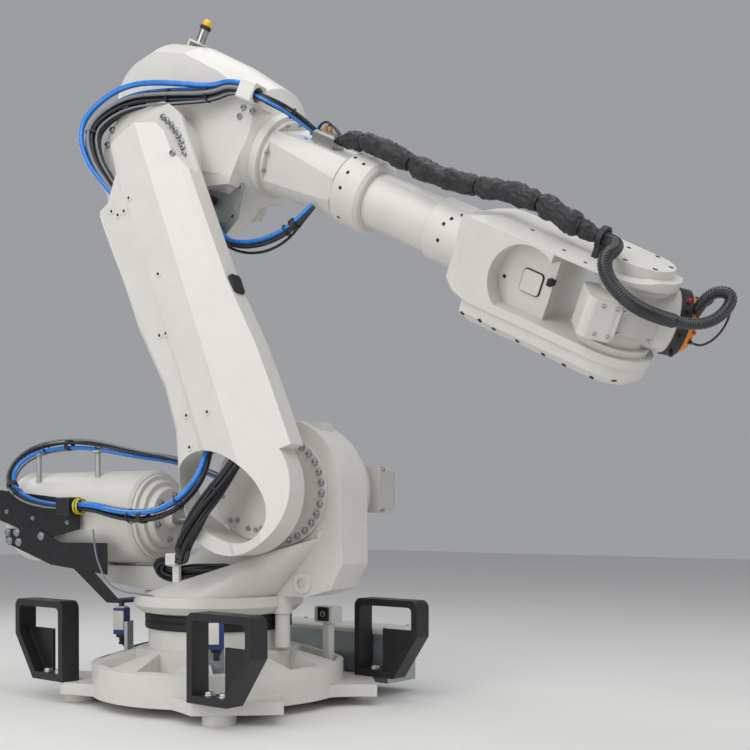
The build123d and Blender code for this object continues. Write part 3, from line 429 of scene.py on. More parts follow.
def add_rounded_plate(bm, space, centre, half, corner, around=24, rim=1.5):
    """A plate with rounded corners round its y axis and softened rims, added to a bmesh."""
    x, y, z = half
    rings = []
    for side, inset in ((-1, rim), (-1, 0), (1, 0), (1, rim)):
        ring = []
        for i in range(around):
            a = 2 * pi * (i + 0.5) / around
            u = (x - corner) * (1 if cos(a) > 0 else -1) + (corner - inset) * cos(a)
            v = (z - corner) * (1 if sin(a) > 0 else -1) + (corner - inset) * sin(a)
            depth = y - (0 if inset else rim)
            ring.append(bm.verts.new(at(space, Vector(centre) + Vector((u, side * depth, v)))))
        rings.append(ring)
    for low, high in zip(rings, rings[1:]):
        for i in range(around):
            j = (i + 1) % around
            bm.faces.new((low[i], low[j], high[j], high[i]))
    bm.faces.new(rings[0])
    bm.faces.new(reversed(rings[-1]))


def formed_piece(bm, name, mat, body, smooth=False, replaces=()):
    """A bmesh as a piece, its faces turned outwards."""
    bmesh.ops.recalc_face_normals(bm, faces=bm.faces)
    for face in bm.faces:
        face.smooth = smooth
    mesh = mesh_from(bm, name)
    mesh.materials.append(FINISHES[mat])
    return piece(name, mesh, body, replaces)


# Geometry Nodes trees


def sockets(tree, rows):
    for name, way, kind in rows:
        tree.interface.new_socket(name, in_out=way, socket_type="NodeSocket" + kind)


def fastener_tree():
    """Puts a shape on every point, its z along the point's axis attribute."""
    tree = bpy.data.node_groups.new("Fasteners", "GeometryNodeTree")
    sockets(tree, (
        ("Places", "INPUT", "Geometry"), ("Shape", "INPUT", "Object"), ("Head Radius", "INPUT", "Float"),
        ("Finish", "INPUT", "Material"), ("Fasteners", "OUTPUT", "Geometry"),
    ))
    given = add(tree, "NodeGroupInput").outputs
    shape = add(tree, "GeometryNodeObjectInfo", {"Object": given["Shape"]})
    axis = add(tree, "GeometryNodeInputNamedAttribute", {"Name": "axis"}, data_type="FLOAT_VECTOR")
    size = add(tree, "GeometryNodeInputNamedAttribute", {"Name": "size"}, data_type="FLOAT")
    turn = add(tree, "FunctionNodeAlignRotationToVector", {"Vector": axis.outputs["Attribute"]}, axis="Z")
    scale = add(tree, "ShaderNodeMath", {0: given["Head Radius"], 1: size.outputs["Attribute"]},
                operation="MULTIPLY")
    put = add(tree, "GeometryNodeInstanceOnPoints", {
        "Points": given["Places"], "Instance": shape.outputs["Geometry"],
        "Rotation": turn.outputs["Rotation"], "Scale": scale.outputs["Value"],
    })
    real = add(tree, "GeometryNodeRealizeInstances", {"Geometry": put.outputs["Instances"]})
    done = add(tree, "GeometryNodeSetMaterial", {
        "Geometry": real.outputs["Geometry"], "Material": given["Finish"],
    })
    add(tree, "NodeGroupOutput", {"Fasteners": done.outputs["Geometry"]})
    return tree


def tube_tree():
    """A round tube along every polyline, its radius from the thick attribute, ribbed by the rib depth."""
    tree = bpy.data.node_groups.new("Route tube", "GeometryNodeTree")
    sockets(tree, (
        ("Lines", "INPUT", "Geometry"), ("Spacing", "INPUT", "Float"), ("Rib Pitch", "INPUT", "Float"),
        ("Rib Depth", "INPUT", "Float"), ("Sides", "INPUT", "Int"), ("Finish", "INPUT", "Material"),
        ("Tubes", "OUTPUT", "Geometry"),
    ))
    given = add(tree, "NodeGroupInput").outputs
    line = add(tree, "GeometryNodeMeshToCurve", {"Mesh": given["Lines"]})
    even = add(tree, "GeometryNodeResampleCurve", {
        "Curve": line.outputs["Curve"], "Length": given["Spacing"],
    }, mode="LENGTH")
    run = add(tree, "GeometryNodeSplineParameter")
    turns = add(tree, "ShaderNodeMath", {0: run.outputs["Length"], 1: given["Rib Pitch"]}, operation="DIVIDE")
    angle = add(tree, "ShaderNodeMath", {0: turns.outputs["Value"], 1: 2 * pi}, operation="MULTIPLY")
    wave = add(tree, "ShaderNodeMath", {0: angle.outputs["Value"]}, operation="SINE")
    rib = add(tree, "ShaderNodeMath", {0: wave.outputs["Value"], 1: given["Rib Depth"], 2: 1.0},
              operation="MULTIPLY_ADD")
    thick = add(tree, "GeometryNodeInputNamedAttribute", {"Name": "thick"}, data_type="FLOAT")
    radius = add(tree, "ShaderNodeMath", {0: thick.outputs["Attribute"], 1: rib.outputs["Value"]},
                 operation="MULTIPLY")
    ring = add(tree, "GeometryNodeCurvePrimitiveCircle", {"Resolution": given["Sides"], "Radius": 1.0})
    tube = add(tree, "GeometryNodeCurveToMesh", {
        "Curve": even.outputs["Curve"], "Profile Curve": ring.outputs["Curve"],
        "Scale": radius.outputs["Value"], "Fill Caps": True,
    })
    smooth = add(tree, "GeometryNodeSetShadeSmooth", {"Geometry": tube.outputs["Mesh"]})
    real = add(tree, "GeometryNodeRealizeInstances", {"Geometry": smooth.outputs["Geometry"]})
    done = add(tree, "GeometryNodeSetMaterial", {
        "Geometry": real.outputs["Geometry"], "Material": given["Finish"],
    })
    add(tree, "NodeGroupOutput", {"Tubes": done.outputs["Geometry"]})
    return tree


TREES = {}


def grown(name, mesh, kind, values):
    """The plain mesh that a tree makes from a source mesh."""
    tree = TREES[kind]
    source = linked(name, mesh)
    change = source.modifiers.new(kind, "NODES")
    change.node_group = tree
    keys = {item.name: item.identifier for item in tree.interface.items_tree}
    for key, value in values.items():
        change[keys[key]] = value
    made = evaluated(source)
    made.name = name
    return made


# Fastener shapes, drawn for a head radius of 1, seat at height 0
CAP_SCREW = [(1.35, -0.1), (1.35, 0.16), (1.02, 0.16), (1.0, 0.92), (0.9, 1.05), (0.6, 1.05, 6),
             (0.57, 0.45, 6), (0, 0.42)]
HEX_BOLT = [(1.35, -0.1), (1.35, 0.14), (1.04, 0.14, 6), (1.04, 0.62, 6), (0.84, 0.76), (0, 0.78)]
# A shallow dished disc: in the near-black finish it is painted shade in holes and recesses; in zinc it is the
# marker's target
DISHED_DISC = [(1.0, -0.2), (1.0, 0.05), (0.9, 0.1), (0.8, 0.05), (0, 0.05)]
BOSS = [(1.3, -0.5), (1.2, 0.18), (1.05, 0.3), (0.55, 0.3), (0.5, 0.2), (0.48, -0.2), (0, -0.2)]
SOCKET = [(1.25, -0.1), (1.25, 0.1), (1.0, 0.14), (1.0, 0.36), (0.92, 0.42), (0.74, 0.42), (0.7, 0.16),
          (0, 0.16)]
FITTING = [(1.0, -0.2, 6), (1.0, 0.9, 6), (0.8, 1.0), (0.8, 1.5), (0.95, 1.6), (0.95, 2.3), (0.8, 2.45),
           (0.5, 2.45), (0.5, 2.2), (0, 2.2)]
# Bands round a bundle, drawn for an inner radius of 1: a narrow tie and a wide strap
TIE = [(1.0, -0.14), (1.09, -0.14), (1.12, -0.07), (1.12, 0.07), (1.09, 0.14), (1.0, 0.14), (0.97, 0),
       (1.0, -0.14)]
STRAP = [(1.0, -0.5), (1.08, -0.5), (1.11, -0.42), (1.11, 0.42), (1.08, 0.5), (1.0, 0.5), (0.97, 0),
         (1.0, -0.5)]


def fasteners(name, profile, places, radius, mat, body, sides=12, blend=None, loop=False):
    """Copies of a turned shape at (space, point, axis, size) places, as one piece."""
    mesh = bpy.data.meshes.new(name)
    mesh.from_pydata([at(space, point) for space, point, *rest in places], [], [])
    ways = [c for space, point, way, *scale in places for c in along(space, way)]
    sizes = [scale[0] if scale else 1.0 for space, point, way, *scale in places]
    mesh.attributes.new("axis", "FLOAT_VECTOR", "POINT")
    mesh.attributes.new("size", "FLOAT", "POINT")
    mesh.attributes["axis"].data.foreach_set("vector", ways)
    mesh.attributes["size"].data.foreach_set("value", sizes)
    shape = linked(name + "_shape", turned_mesh(name + "_shape", profile, sides, loop))
    made = grown(name, mesh, "fasteners", {"Shape": shape, "Head Radius": radius, "Finish": FINISHES[mat]})
    bpy.data.objects.remove(shape)
    return piece(name, made, body, blend=blend)


SKIN = {}
RAY_START = 0.4


def skin(node):
    """The surface of a casting, to seat things on."""
    if node not in SKIN:
        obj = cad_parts[node]
        verts = [obj.matrix_world @ v.co for v in obj.data.vertices]
        SKIN[node] = BVHTree.FromPolygons(verts, [list(face.vertices) for face in obj.data.polygons])
    return SKIN[node]


def seated(node, space, axis, points, size=1.0, lean=False):
    """Places where lines against an axis meet a casting's surface."""
    way = along(space, axis)
    rows = []
    for p in points:
        hit, normal, face, far = skin(node).ray_cast(at(space, p) + way * RAY_START, -way)
        if hit:
            rows.append((BASE, hit / MM, normal if lean else way, size))
    return rows


def seated_round(node, space, rows):
    """Places on a round casting, from (x, degrees from y toward z)."""
    made = []
    for x, turn in rows:
        made += seated(node, space, (0, cos(radians(turn)), sin(radians(turn))), [(x, 0, 0)])
    return made


def on_face(pairs, y=0):
    return [(x, y, z) for x, z in pairs]


def circle(plane, centre, radius, count, first=0.0):
    """Points round a circle, counted in degrees from the first axis of its plane."""
    rows = []
    for i in range(count):
        a = radians(first + 360 / count * i)
        point = list(centre)
        for axis, share in zip(plane, (cos(a), sin(a))):
            point["xyz".index(axis)] += radius * share
        rows.append(point)
    return rows


# Cable routes: the points of the part's own tubes and of the thin leads, in millimetres of their spaces


def route(space, *points):
    return [(space, p) for p in points]


def polar_route(*points):
    """A route on the base, from (distance, degrees, height)."""
    return [(Matrix.Rotation(radians(a), 4, "Z"), (d, 0, z)) for d, a, z in points]


ROUTES = {
    "cable_low": route(
        ROW, (-439.7, -333, 725), (-330, -333, 725), (-200, -353, 697), (-40, -388, 684), (100, -411, 706),
        (185, -395, 770), (208, -349, 850), (200, -313, 930)),
    "cable_black": route(
        ROW, (0.3, -262, 535), (50, -262, 535), (117, -362, 580), (205, -402, 676), (262, -345, 790),
        (350, -320, 915)),
    "cable_loop": route(
        ROW, (-0.3, -262, 535), (-50, -262, 535), (-86, -250, 501), (-50, -224, 474), (40, -190, 484),
        (120, -172, 494), (185, -163, 506), (222, -160, 474)),
    "cable_rear": route(
        ROW, (-440.3, -333, 725), (-540, -333, 725), (-700, -329, 760), (-790, -300, 830), (-795, -245, 905),
        (-720, -215, 950), (-580, -200, 965), (-430, -190, 955), (-300, -140, 925), (-150, -40, 900),
        (-20, -10, 845), (75, 0, 815)),
    "cable_top": route(
        LOWER, (-112, -322, 1160), (-142, -326, 1245), (-170, -326, 1340), (-165, -316, 1450)) + route(
        UPPER, (-232, -290, 70), (-150, -268, 165), (0, -246, 232), (150, -218, 292), (220, -212, 352),
        (299.7, -212, 352)),
    "cable_nose": route(UPPER, (300, -212, 352), (370, -212, 352), (440, -128, 350)) + route(
        FORE, (506, 0, 126)),
    "cable_under": route(
        UPPER, (290, -119.3, -110), (345, -119.3, -150), (430, -113.3, -138), (520, -105.3, -84),
        (600, -99.3, 0), (640, -95.3, 96)),
    "sleeve": route(
        FORE, (600, 0, 132), (660, -2, 158), (760, -10, 176), (900, -18, 166), (1060, -30, 160),
        (1200, -42, 184), (1340, -54, 214), (1480, -64, 216), (1600, -70, 195), (1680, -70, 195)),
    "hose": route(
        FORE, (1680.3, -70, 195), (1726, -70, 195), (1752, -124, 195), (1750, -186, 172), (1790, -206, 126),
        (1869, -190, 84)) + route(TILTED, (52, -172, 54), (112, -172, 54)),
    "hose_tip": route(
        TILTED, (112.3, -172, 54), (168, -172, 54), (228, -176, 88), (262, -146, 146), (240, -120, 162),
        (199, -90, 132), (199, -52.3, 52.3)),
    "switch_lead_1": polar_route(
        (400, -64, 206), (402, -66, 184), (392, -72, 178), (370, -82, 190), (345, -92, 196),
        (322, -100, 186)),
    "switch_lead_2": polar_route(
        (400, 46, 350), (404, 45, 361), (406, 42, 362), (402, 39, 356), (394, 36, 336), (384, 34, 300),
        (372, 33, 250), (362, 32, 212), (352, 31, 182)),
    "deck_lead": route(
        ROW, (-330, -322, 640), (-318, -326, 560), (-300, -318, 500), (-270, -312, 440), (-200, -300, 412),
        (-120, -292, 408), (-60, -290, 400)),
    "valve_tube_1": route(
        FORE, (472, 26, 118), (472, 27, 146), (500, 30, 172), (560, 16, 168), (612, 2, 138)),
    "valve_tube_2": route(
        FORE, (492, 8, 118), (494, 8, 150), (520, 4, 182), (572, -6, 174), (614, -4, 140)),
    "valve_tube_3": route(
        FORE, (488, 44, 118), (490, 46, 150), (524, 44, 166), (580, 20, 156), (616, 6, 136)),
    "disc_tube_1": route(
        TILTED, (218, 18, 82), (232, 18, 84), (246, -20, 108), (238, -66, 132), (206, -88, 128)),
    "disc_tube_2": route(
        TILTED, (218, -37, 75), (228, -38, 80), (236, -58, 104), (226, -82, 118), (204, -88, 126)),
    "disc_tube_3": route(
        TILTED, (256, -140, 150), (276, -122, 112), (284, -106, 52), (270, -94, 0), (238, -86, -32),
        (216, -80, -26)),
}


def smooth_line(name, spacing=0.004):
    """Even points along a route's smooth line, read from its NURBS spline."""
    points = [at(space, p) for space, p in ROUTES[name]]
    curve = bpy.data.curves.new(name + "_route", "CURVE")
    curve.dimensions = "3D"
    spline = curve.splines.new("NURBS")
    spline.points.add(len(points) - 1)
    for knot, p in zip(spline.points, points):
        knot.co = (*p, 1.0)
    spline.order_u = 3
    spline.use_endpoint_u = True
    spline.resolution_u = 24
    mesh = evaluated(linked(name + "_route", curve))
    raw = [v.co.copy() for v in mesh.vertices]
    bpy.data.meshes.remove(mesh)
    line = [raw[0]]
    left = spacing
    for a, b in zip(raw, raw[1:]):
        run = (b - a).length
        while run > left:
            a = a.lerp(b, left / run)
            line.append(a.copy())
            run = (b - a).length
            left = spacing
        left -= run
    return line


def carried_frames(line, up):
    """Tangent, normal and side at each point, with no twist along the line."""
    rows = []
    normal = Vector(up)
    for i, p in enumerate(line):
        t = (line[min(i + 1, len(line) - 1)] - line[max(i - 1, 0)]).normalized()
        normal = (normal - t * normal.dot(t)).normalized()
        rows.append((t, normal.copy(), t.cross(normal)))
    return rows


PINCH = 0.55  # of a strand's offset, at the ends of a bundle
LOOSE = 0.16  # of a strand's offset, by which it strays


def strands_mesh(name, line, up, strands, mat, spacing=0.008, rib=(0.0075, 0.0), sides=10):
    """Tubes along a line: each strand is (radius, offset, angle, turns, bow), sizes in millimetres."""
    verts, edges, thick = [], [], []
    rows = carried_frames(line, up)
    last = len(line) - 1
    for radius, offset, angle, turns, bow in strands:
        first = len(verts)
        for i, (p, (t, n, s)) in enumerate(zip(line, rows)):
            f = i / last
            a = radians(angle) + 2 * pi * turns * f
            swell = PINCH + (1 - PINCH) * sqrt(max(0.0, sin(pi * f)))
            loose = noise.noise(Vector((f * 3.1, angle * 0.37, radius))) * LOOSE + 1.0
            reach = (offset * swell * loose + bow * sin(pi * f) ** 2) * MM
            verts.append(p + (n * cos(a) + s * sin(a)) * reach)
            thick.append(radius * MM)
            if i:
                edges.append((first + i - 1, first + i))
    mesh = bpy.data.meshes.new(name)
    mesh.from_pydata(verts, edges, [])
    mesh.attributes.new("thick", "FLOAT", "POINT").data.foreach_set("value", thick)
    return grown(name, mesh, "tubes", {
        "Spacing": spacing, "Rib Pitch": rib[0], "Rib Depth": rib[1], "Sides": sides, "Finish": FINISHES[mat],
    })


# Bundles: node, body, blend, up, then finish, slot and strands (radius, offset, angle, turns, bow)
BUNDLES = {
    "cable_low": ("frame", ("lower_arm", at(ROW, (-330, -333, 725)), at(ROW, (200, -330, 860))), UP, (
        ("cable_blue", "cable_blue", [(10, 13, 40, 0.03, 4), (7, 15, -5, 0.1, 0)]),
        ("cable", "cable", [(8, 11, 180, 0.1, 2), (6, 14, 235, 0.1, 0), (6, 14, 130, 0.05, 4),
                            (5, 17, 290, 0.1, 2)]),
        ("grey_lead", "cable", [(4, 19, 330, 0.1, 5)]),
    )),
    "cable_black": ("frame", ("lower_arm", at(ROW, (60, -270, 540)), at(ROW, (330, -325, 890))), UP, (
        ("cable", "cable", [(8, 2, 0, 0.3, 0)] + [(7.5, 15, 60 * i, 0.35, 2) for i in range(6)]
         + [(5.5, 22, 45 + 72 * i, 0.4, 6) for i in range(5)]),
    )),
    "cable_loop": ("frame", None, UP, (
        ("cable", "cable", [(6, 9, 72 * i, 0.5, 3) for i in range(5)]
         + [(5.5, 17, 30 + 65 * i, 0.35, 9) for i in range(5)]),
        ("grey_lead", "cable", [(3.5, 13, 20, 0.3, 6)]),
    )),
    "cable_rear": ("frame", None, UP, (
        ("cable_blue", "cable_blue", [(8, 9, 20, 0.2, 2)]),
        ("cable", "cable", [(6, 10, 150, 0.3, 3), (5, 11, 270, 0.2, 4)]),
        ("grey_lead", "cable", [(4.5, 13, 210, 0.3, 9), (4, 14, 90, 0.2, 16)]),
    )),
    "cable_top": ("lower_arm", ("upper_arm", at(LOWER, (-120, -322, 1180)), at(UPPER, (240, -214, 345))),
                  along(LOWER, (-1, -0.6, 0)), (
        ("cable", "cable", [(7.5, 3, 0, 0.2, 0)] + [(7, 15, 60 * i, 0.3, 3) for i in range(6)]
         + [(6, 23, 200, 0.1, 6), (6, 23, 150, 0.1, 4)]),
        ("cable_blue", "cable_blue", [(10, 24, 14, -0.02, 30), (7, 25, 335, 0.03, 4)]),
        ("grey_lead", "cable", [(6.5, 22, 50, 0.1, 6), (4, 24, 120, 0.1, 12)]),
    )),
    "cable_nose": ("upper_arm", ("fore_arm", at(UPPER, (340, -212, 352)), at(UPPER, (500, -40, 330))), UP, (
        ("cable", "cable", [(5.5, 9, 72 * i, 0.2, 2) for i in range(5)]),
        ("cable_blue", "cable_blue", [(5, 15, 100, 0.1, 5)]),
        ("grey_lead", "cable", [(4, 15, 220, 0.1, 6)]),
    )),
    "cable_under": ("upper_arm", ("fore_arm", at(UPPER, (300, -119, -115)), at(UPPER, (630, -96, 70))), UP, (
        ("cable_blue", "cable_blue", [(8, 8, 20, 0.0, 0)]),
        ("cable", "cable", [(7, 8, 150, 0.1, 3), (6, 9, 260, 0.1, 14), (5, 12, 200, 0.1, 26)]),
    )),
}
# Narrow ties and wide hook-and-loop straps: share of the route's length, radius in millimetres
TIES = {
    "cable_low": ((0.42, 24), (0.72, 23)), "cable_black": ((0.3, 25), (0.72, 26)),
    "cable_rear": ((0.2, 19), (0.42, 19), (0.6, 19)), "cable_top": ((0.3, 27), (0.66, 26), (0.82, 25)),
    "cable_nose": ((0.6, 18),), "cable_under": ((0.72, 20),), "cable_loop": ((0.55, 17),),
}
STRAPS = {"cable_low": ((0.5, 23),), "cable_rear": ((0.24, 20), (0.5, 20)), "cable_under": ((0.8, 20),)}
BUNDLE_STEP = 0.006


class ARM_OT_finishes(bpy.types.Operator):
    """Give every casting, plate and motor its finish"""

    bl_idname = "arm.finishes"
    bl_label = "Finishes"

    def execute(self, context):
        make_finishes(context.scene.arm_finish)
        TREES["fasteners"] = fastener_tree()
        TREES["tubes"] = tube_tree()
        by_node = {node: mat for mat, nodes in NODE_FINISH.items() for node in nodes}
        for node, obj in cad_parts.items():
            mat = FINISHES[by_node.get(node, "paint")]
            for place in obj.material_slots:
                place.material = mat
        return {"FINISHED"}


class ARM_OT_bundles(bpy.types.Operator):
    """Run the cable bundles along their routes, with their ties and straps"""

    bl_idname = "arm.bundles"
    bl_label = "Cable bundles"

    def execute(self, context):
        lines = {}
        for node, (body, blend, up, groups) in BUNDLES.items():
            lines[node] = smooth_line(node, BUNDLE_STEP)
            for i, (mat, slot, strands) in enumerate(groups):
                name = node.replace("cable", "bundle") + "_" + mat
                mesh = strands_mesh(name, lines[node], up, strands, mat)
                piece(name, mesh, body, replaces=() if i else (node,), blend=blend)
        for node, (body, blend, up, groups) in BUNDLES.items():
            line = lines[node]
            for kind, shape, bands in (("ties", TIE, TIES), ("straps", STRAP, STRAPS)):
                places = []
                for share, radius in bands.get(node, ()):
                    i = int(share * (len(line) - 2)) + 1
                    places.append((BASE, line[i] / MM, (line[i + 1] - line[i - 1]).normalized(), radius))
                if places:
                    fasteners(node.replace("cable", kind), shape, places, MM, "black_plastic", body,
                              20, blend, loop=True)
        return {"FINISHED"}


# Sleeve: faces round it, its step and its width laid flat in metres, shares of its length where it is
# drawn in, and its straps as share and radius in millimetres
SLEEVE_SIDES = 48
SLEEVE_STEP = 0.004
SLEEVE_WIDTH = 0.19
SLEEVE_WAISTS = (0.1, 0.3, 0.56, 0.78, 0.93)
SLEEVE_STRAPS = ((0.015, 15), (0.1, 24), (0.3, 25), (0.56, 25), (0.78, 25), (0.93, 24), (0.985, 17))


def crumple(point, way, f, a):
    """The sleeve's radius as a share of its mean, at a share of its length and an angle round it."""
    end = min(f, 1 - f)
    gather = min(1.0, 0.42 + 0.58 * end / 0.07)
    waist = 1.0
    for share in SLEEVE_WAISTS:
        waist -= 0.3 * max(0.0, 1 - abs(f - share) / 0.018)
    big = noise.noise((point + way * 0.05) * 16.0)
    fold = noise.noise(Vector((f * 34.0 + 0.5 * sin(a * 2), cos(a) * 1.6, sin(a) * 1.6)))
    crease = abs(noise.noise(Vector((f * 46.0, cos(a) * 2.4, sin(a) * 2.4 + 7.0))))
    pleat = 0.05 * sin(a * 11) * (1 - min(1.0, end / 0.1))
    flat = 0.9 + 0.16 * abs(cos(a - 0.4))
    return gather * waist * flat * (1.02 + 0.2 * big + 0.2 * fold - 0.36 * crease + pleat)


class ARM_OT_sleeve(bpy.types.Operator):
    """Wrap the fore arm's bundle in its crumpled woven sleeve"""

    bl_idname = "arm.sleeve"
    bl_label = "Woven sleeve"

    def execute(self, context):
        radius = context.scene.arm_cables.sleeve_radius
        line = smooth_line("sleeve", SLEEVE_STEP)
        last = len(line) - 1
        bm = bmesh.new()
        uv = bm.loops.layers.uv.new("UVMap")
        rings = []
        for i, (p, (t, n, s)) in enumerate(zip(line, carried_frames(line, along(FORE, UP)))):
            ring = []
            for k in range(SLEEVE_SIDES):
                a = 2 * pi * k / SLEEVE_SIDES
                way = n * cos(a) + s * sin(a)
                ring.append(bm.verts.new(p + way * (radius * crumple(p, way, i / last, a))))
            rings.append(ring)
        for i, (low, high) in enumerate(zip(rings, rings[1:])):
            for k in range(SLEEVE_SIDES):
                j = (k + 1) % SLEEVE_SIDES
                face = bm.faces.new((low[k], low[j], high[j], high[k]))
                for loop, (u, v) in zip(face.loops, ((k, i), (k + 1, i), (k + 1, i + 1), (k, i + 1))):
                    loop[uv].uv = (u / SLEEVE_SIDES * SLEEVE_WIDTH, v * SLEEVE_STEP)
        bm.faces.new(reversed(rings[0]))
        bm.faces.new(rings[-1])
        formed_piece(bm, "woven_sleeve", "sleeve", "fore_arm", smooth=True, replaces=("sleeve",))
        places = []
        for share, size in SLEEVE_STRAPS:
            i = max(1, min(last - 1, int(share * last)))
            places.append((BASE, line[i] / MM, line[i + 1] - line[i - 1], size))
        fasteners("sleeve_straps", TIE, places, MM, "black_plastic", "fore_arm", 24,
                  loop=True)
        return {"FINISHED"}


RIB_DEPTH = 0.055   # of the hose's radius
POINTS_PER_RIB = 6
HOSE_SIDES = 28
LOOP_SHARE = 0.82   # of the hose's radius, on the loop at the flange


class ARM_OT_hose(bpy.types.Operator):
    """Lead the ribbed hose from its guide to the flange"""

    bl_idname = "arm.hose"
    bl_label = "Ribbed hose"

    def execute(self, context):
        cables = context.scene.arm_cables
        radius = cables.hose_radius / MM
        to_tilt = ("tilt", at(FORE, (1752, -124, 195)), at(TILTED, (60, -172, 54)))
        to_flange = ("flange", at(TILTED, (150, -172, 54)), at(TILTED, (199, -80, 120)))
        for name, node, share, body, blend in (
            ("ribbed_hose", "hose", 1.0, "fore_arm", to_tilt),
            ("hose_loop", "hose_tip", LOOP_SHARE, "tilt", to_flange),
        ):
            mesh = strands_mesh(name, smooth_line(node), UP, [(radius * share, 0, 0, 0, 0)], "ribbed",
                                cables.rib_pitch / POINTS_PER_RIB, (cables.rib_pitch, RIB_DEPTH), HOSE_SIDES)
            piece(name, mesh, body, (node,), blend)
        return {"FINISHED"}


# Measured places of screws, bosses and holes, in millimetres of their spaces: the lower arm's head screws as
# degrees and radius round axis 3 and as x and z from it, the collar's and neck's holes as x and degrees, the
# others as x and z, or x and y on the fork's top
HEAD_BOLTS = ((37, 156), (28, 154), (18, 156), (8, 158), (-1, 165), (-10, 170), (-17, 173), (-25, 179),
              (-30, 187))
HEAD_LEFT = ((-20, 114), (-19, 134), (-102, 171), (-142, 132))
ARM_BOSSES = ((-44, 1112), (-141, 1114), (-88, 1087), (-119, 1088), (-17, 803), (-95, 608), (-64, 601),
              (-83, 302), (12, 274), (-109, 195))
WINDOW_BOLTS = ((-138, -60), (-108, -71), (-74, -115), (-45, -131), (-21, -134), (-139, 30))
SHELF_BOLTS = ((-790, 625), (-740, 625), (-780, 592), (-730, 588), (-610, 612))
SHELF_SCREWS = ((-800, 705), (-660, 680), (-480, 665))
COLLAR_HOLES = ((763, 118), (715, 112), (735, 169), (736, 143), (735, 220), (735, 300), (735, 30))
NECK_HOLES = ((1188, 125), (1149, 184), (1149, 154), (1164, 140), (1160, 30), (1160, 300))
BAND_HOLES = ((1456, -83), (1592, -113), (1677, -127), (1456, 83), (1592, 100))
COVER_SCREWS = ((1329, -183), (1398, -180), (1450, -188), (1539, -193), (1635, -198), (1711, -202),
                (1810, -200), (1876, -185))
HOUSE_SCREWS = ((262, 298), (304, 298), (260, 266))
MOTOR_CORNERS = ((-54, -54), (-54, 54), (54, -54), (54, 54))
AXIS4_MOTOR = (-195, 275)
SHELF_FACE = -300
POCKET_CORNERS = ((1, 1), (-1, 1), (-1, -1), (1, -1))
POCKET_BOLT_X, POCKET_BOLT_Y, POCKET_FLOOR = 422, (412, 480), 106


def thin_leads(context, body, rows):
    """Thin leads along their routes, each a piece: name and finish."""
    strands = [(context.scene.arm_cables.lead_radius / MM, 0, 0, 0, 0)]
    for name, mat in rows:
        mesh = strands_mesh(name, smooth_line(name), UP, strands, mat, 0.005)
        piece(name, mesh, body)


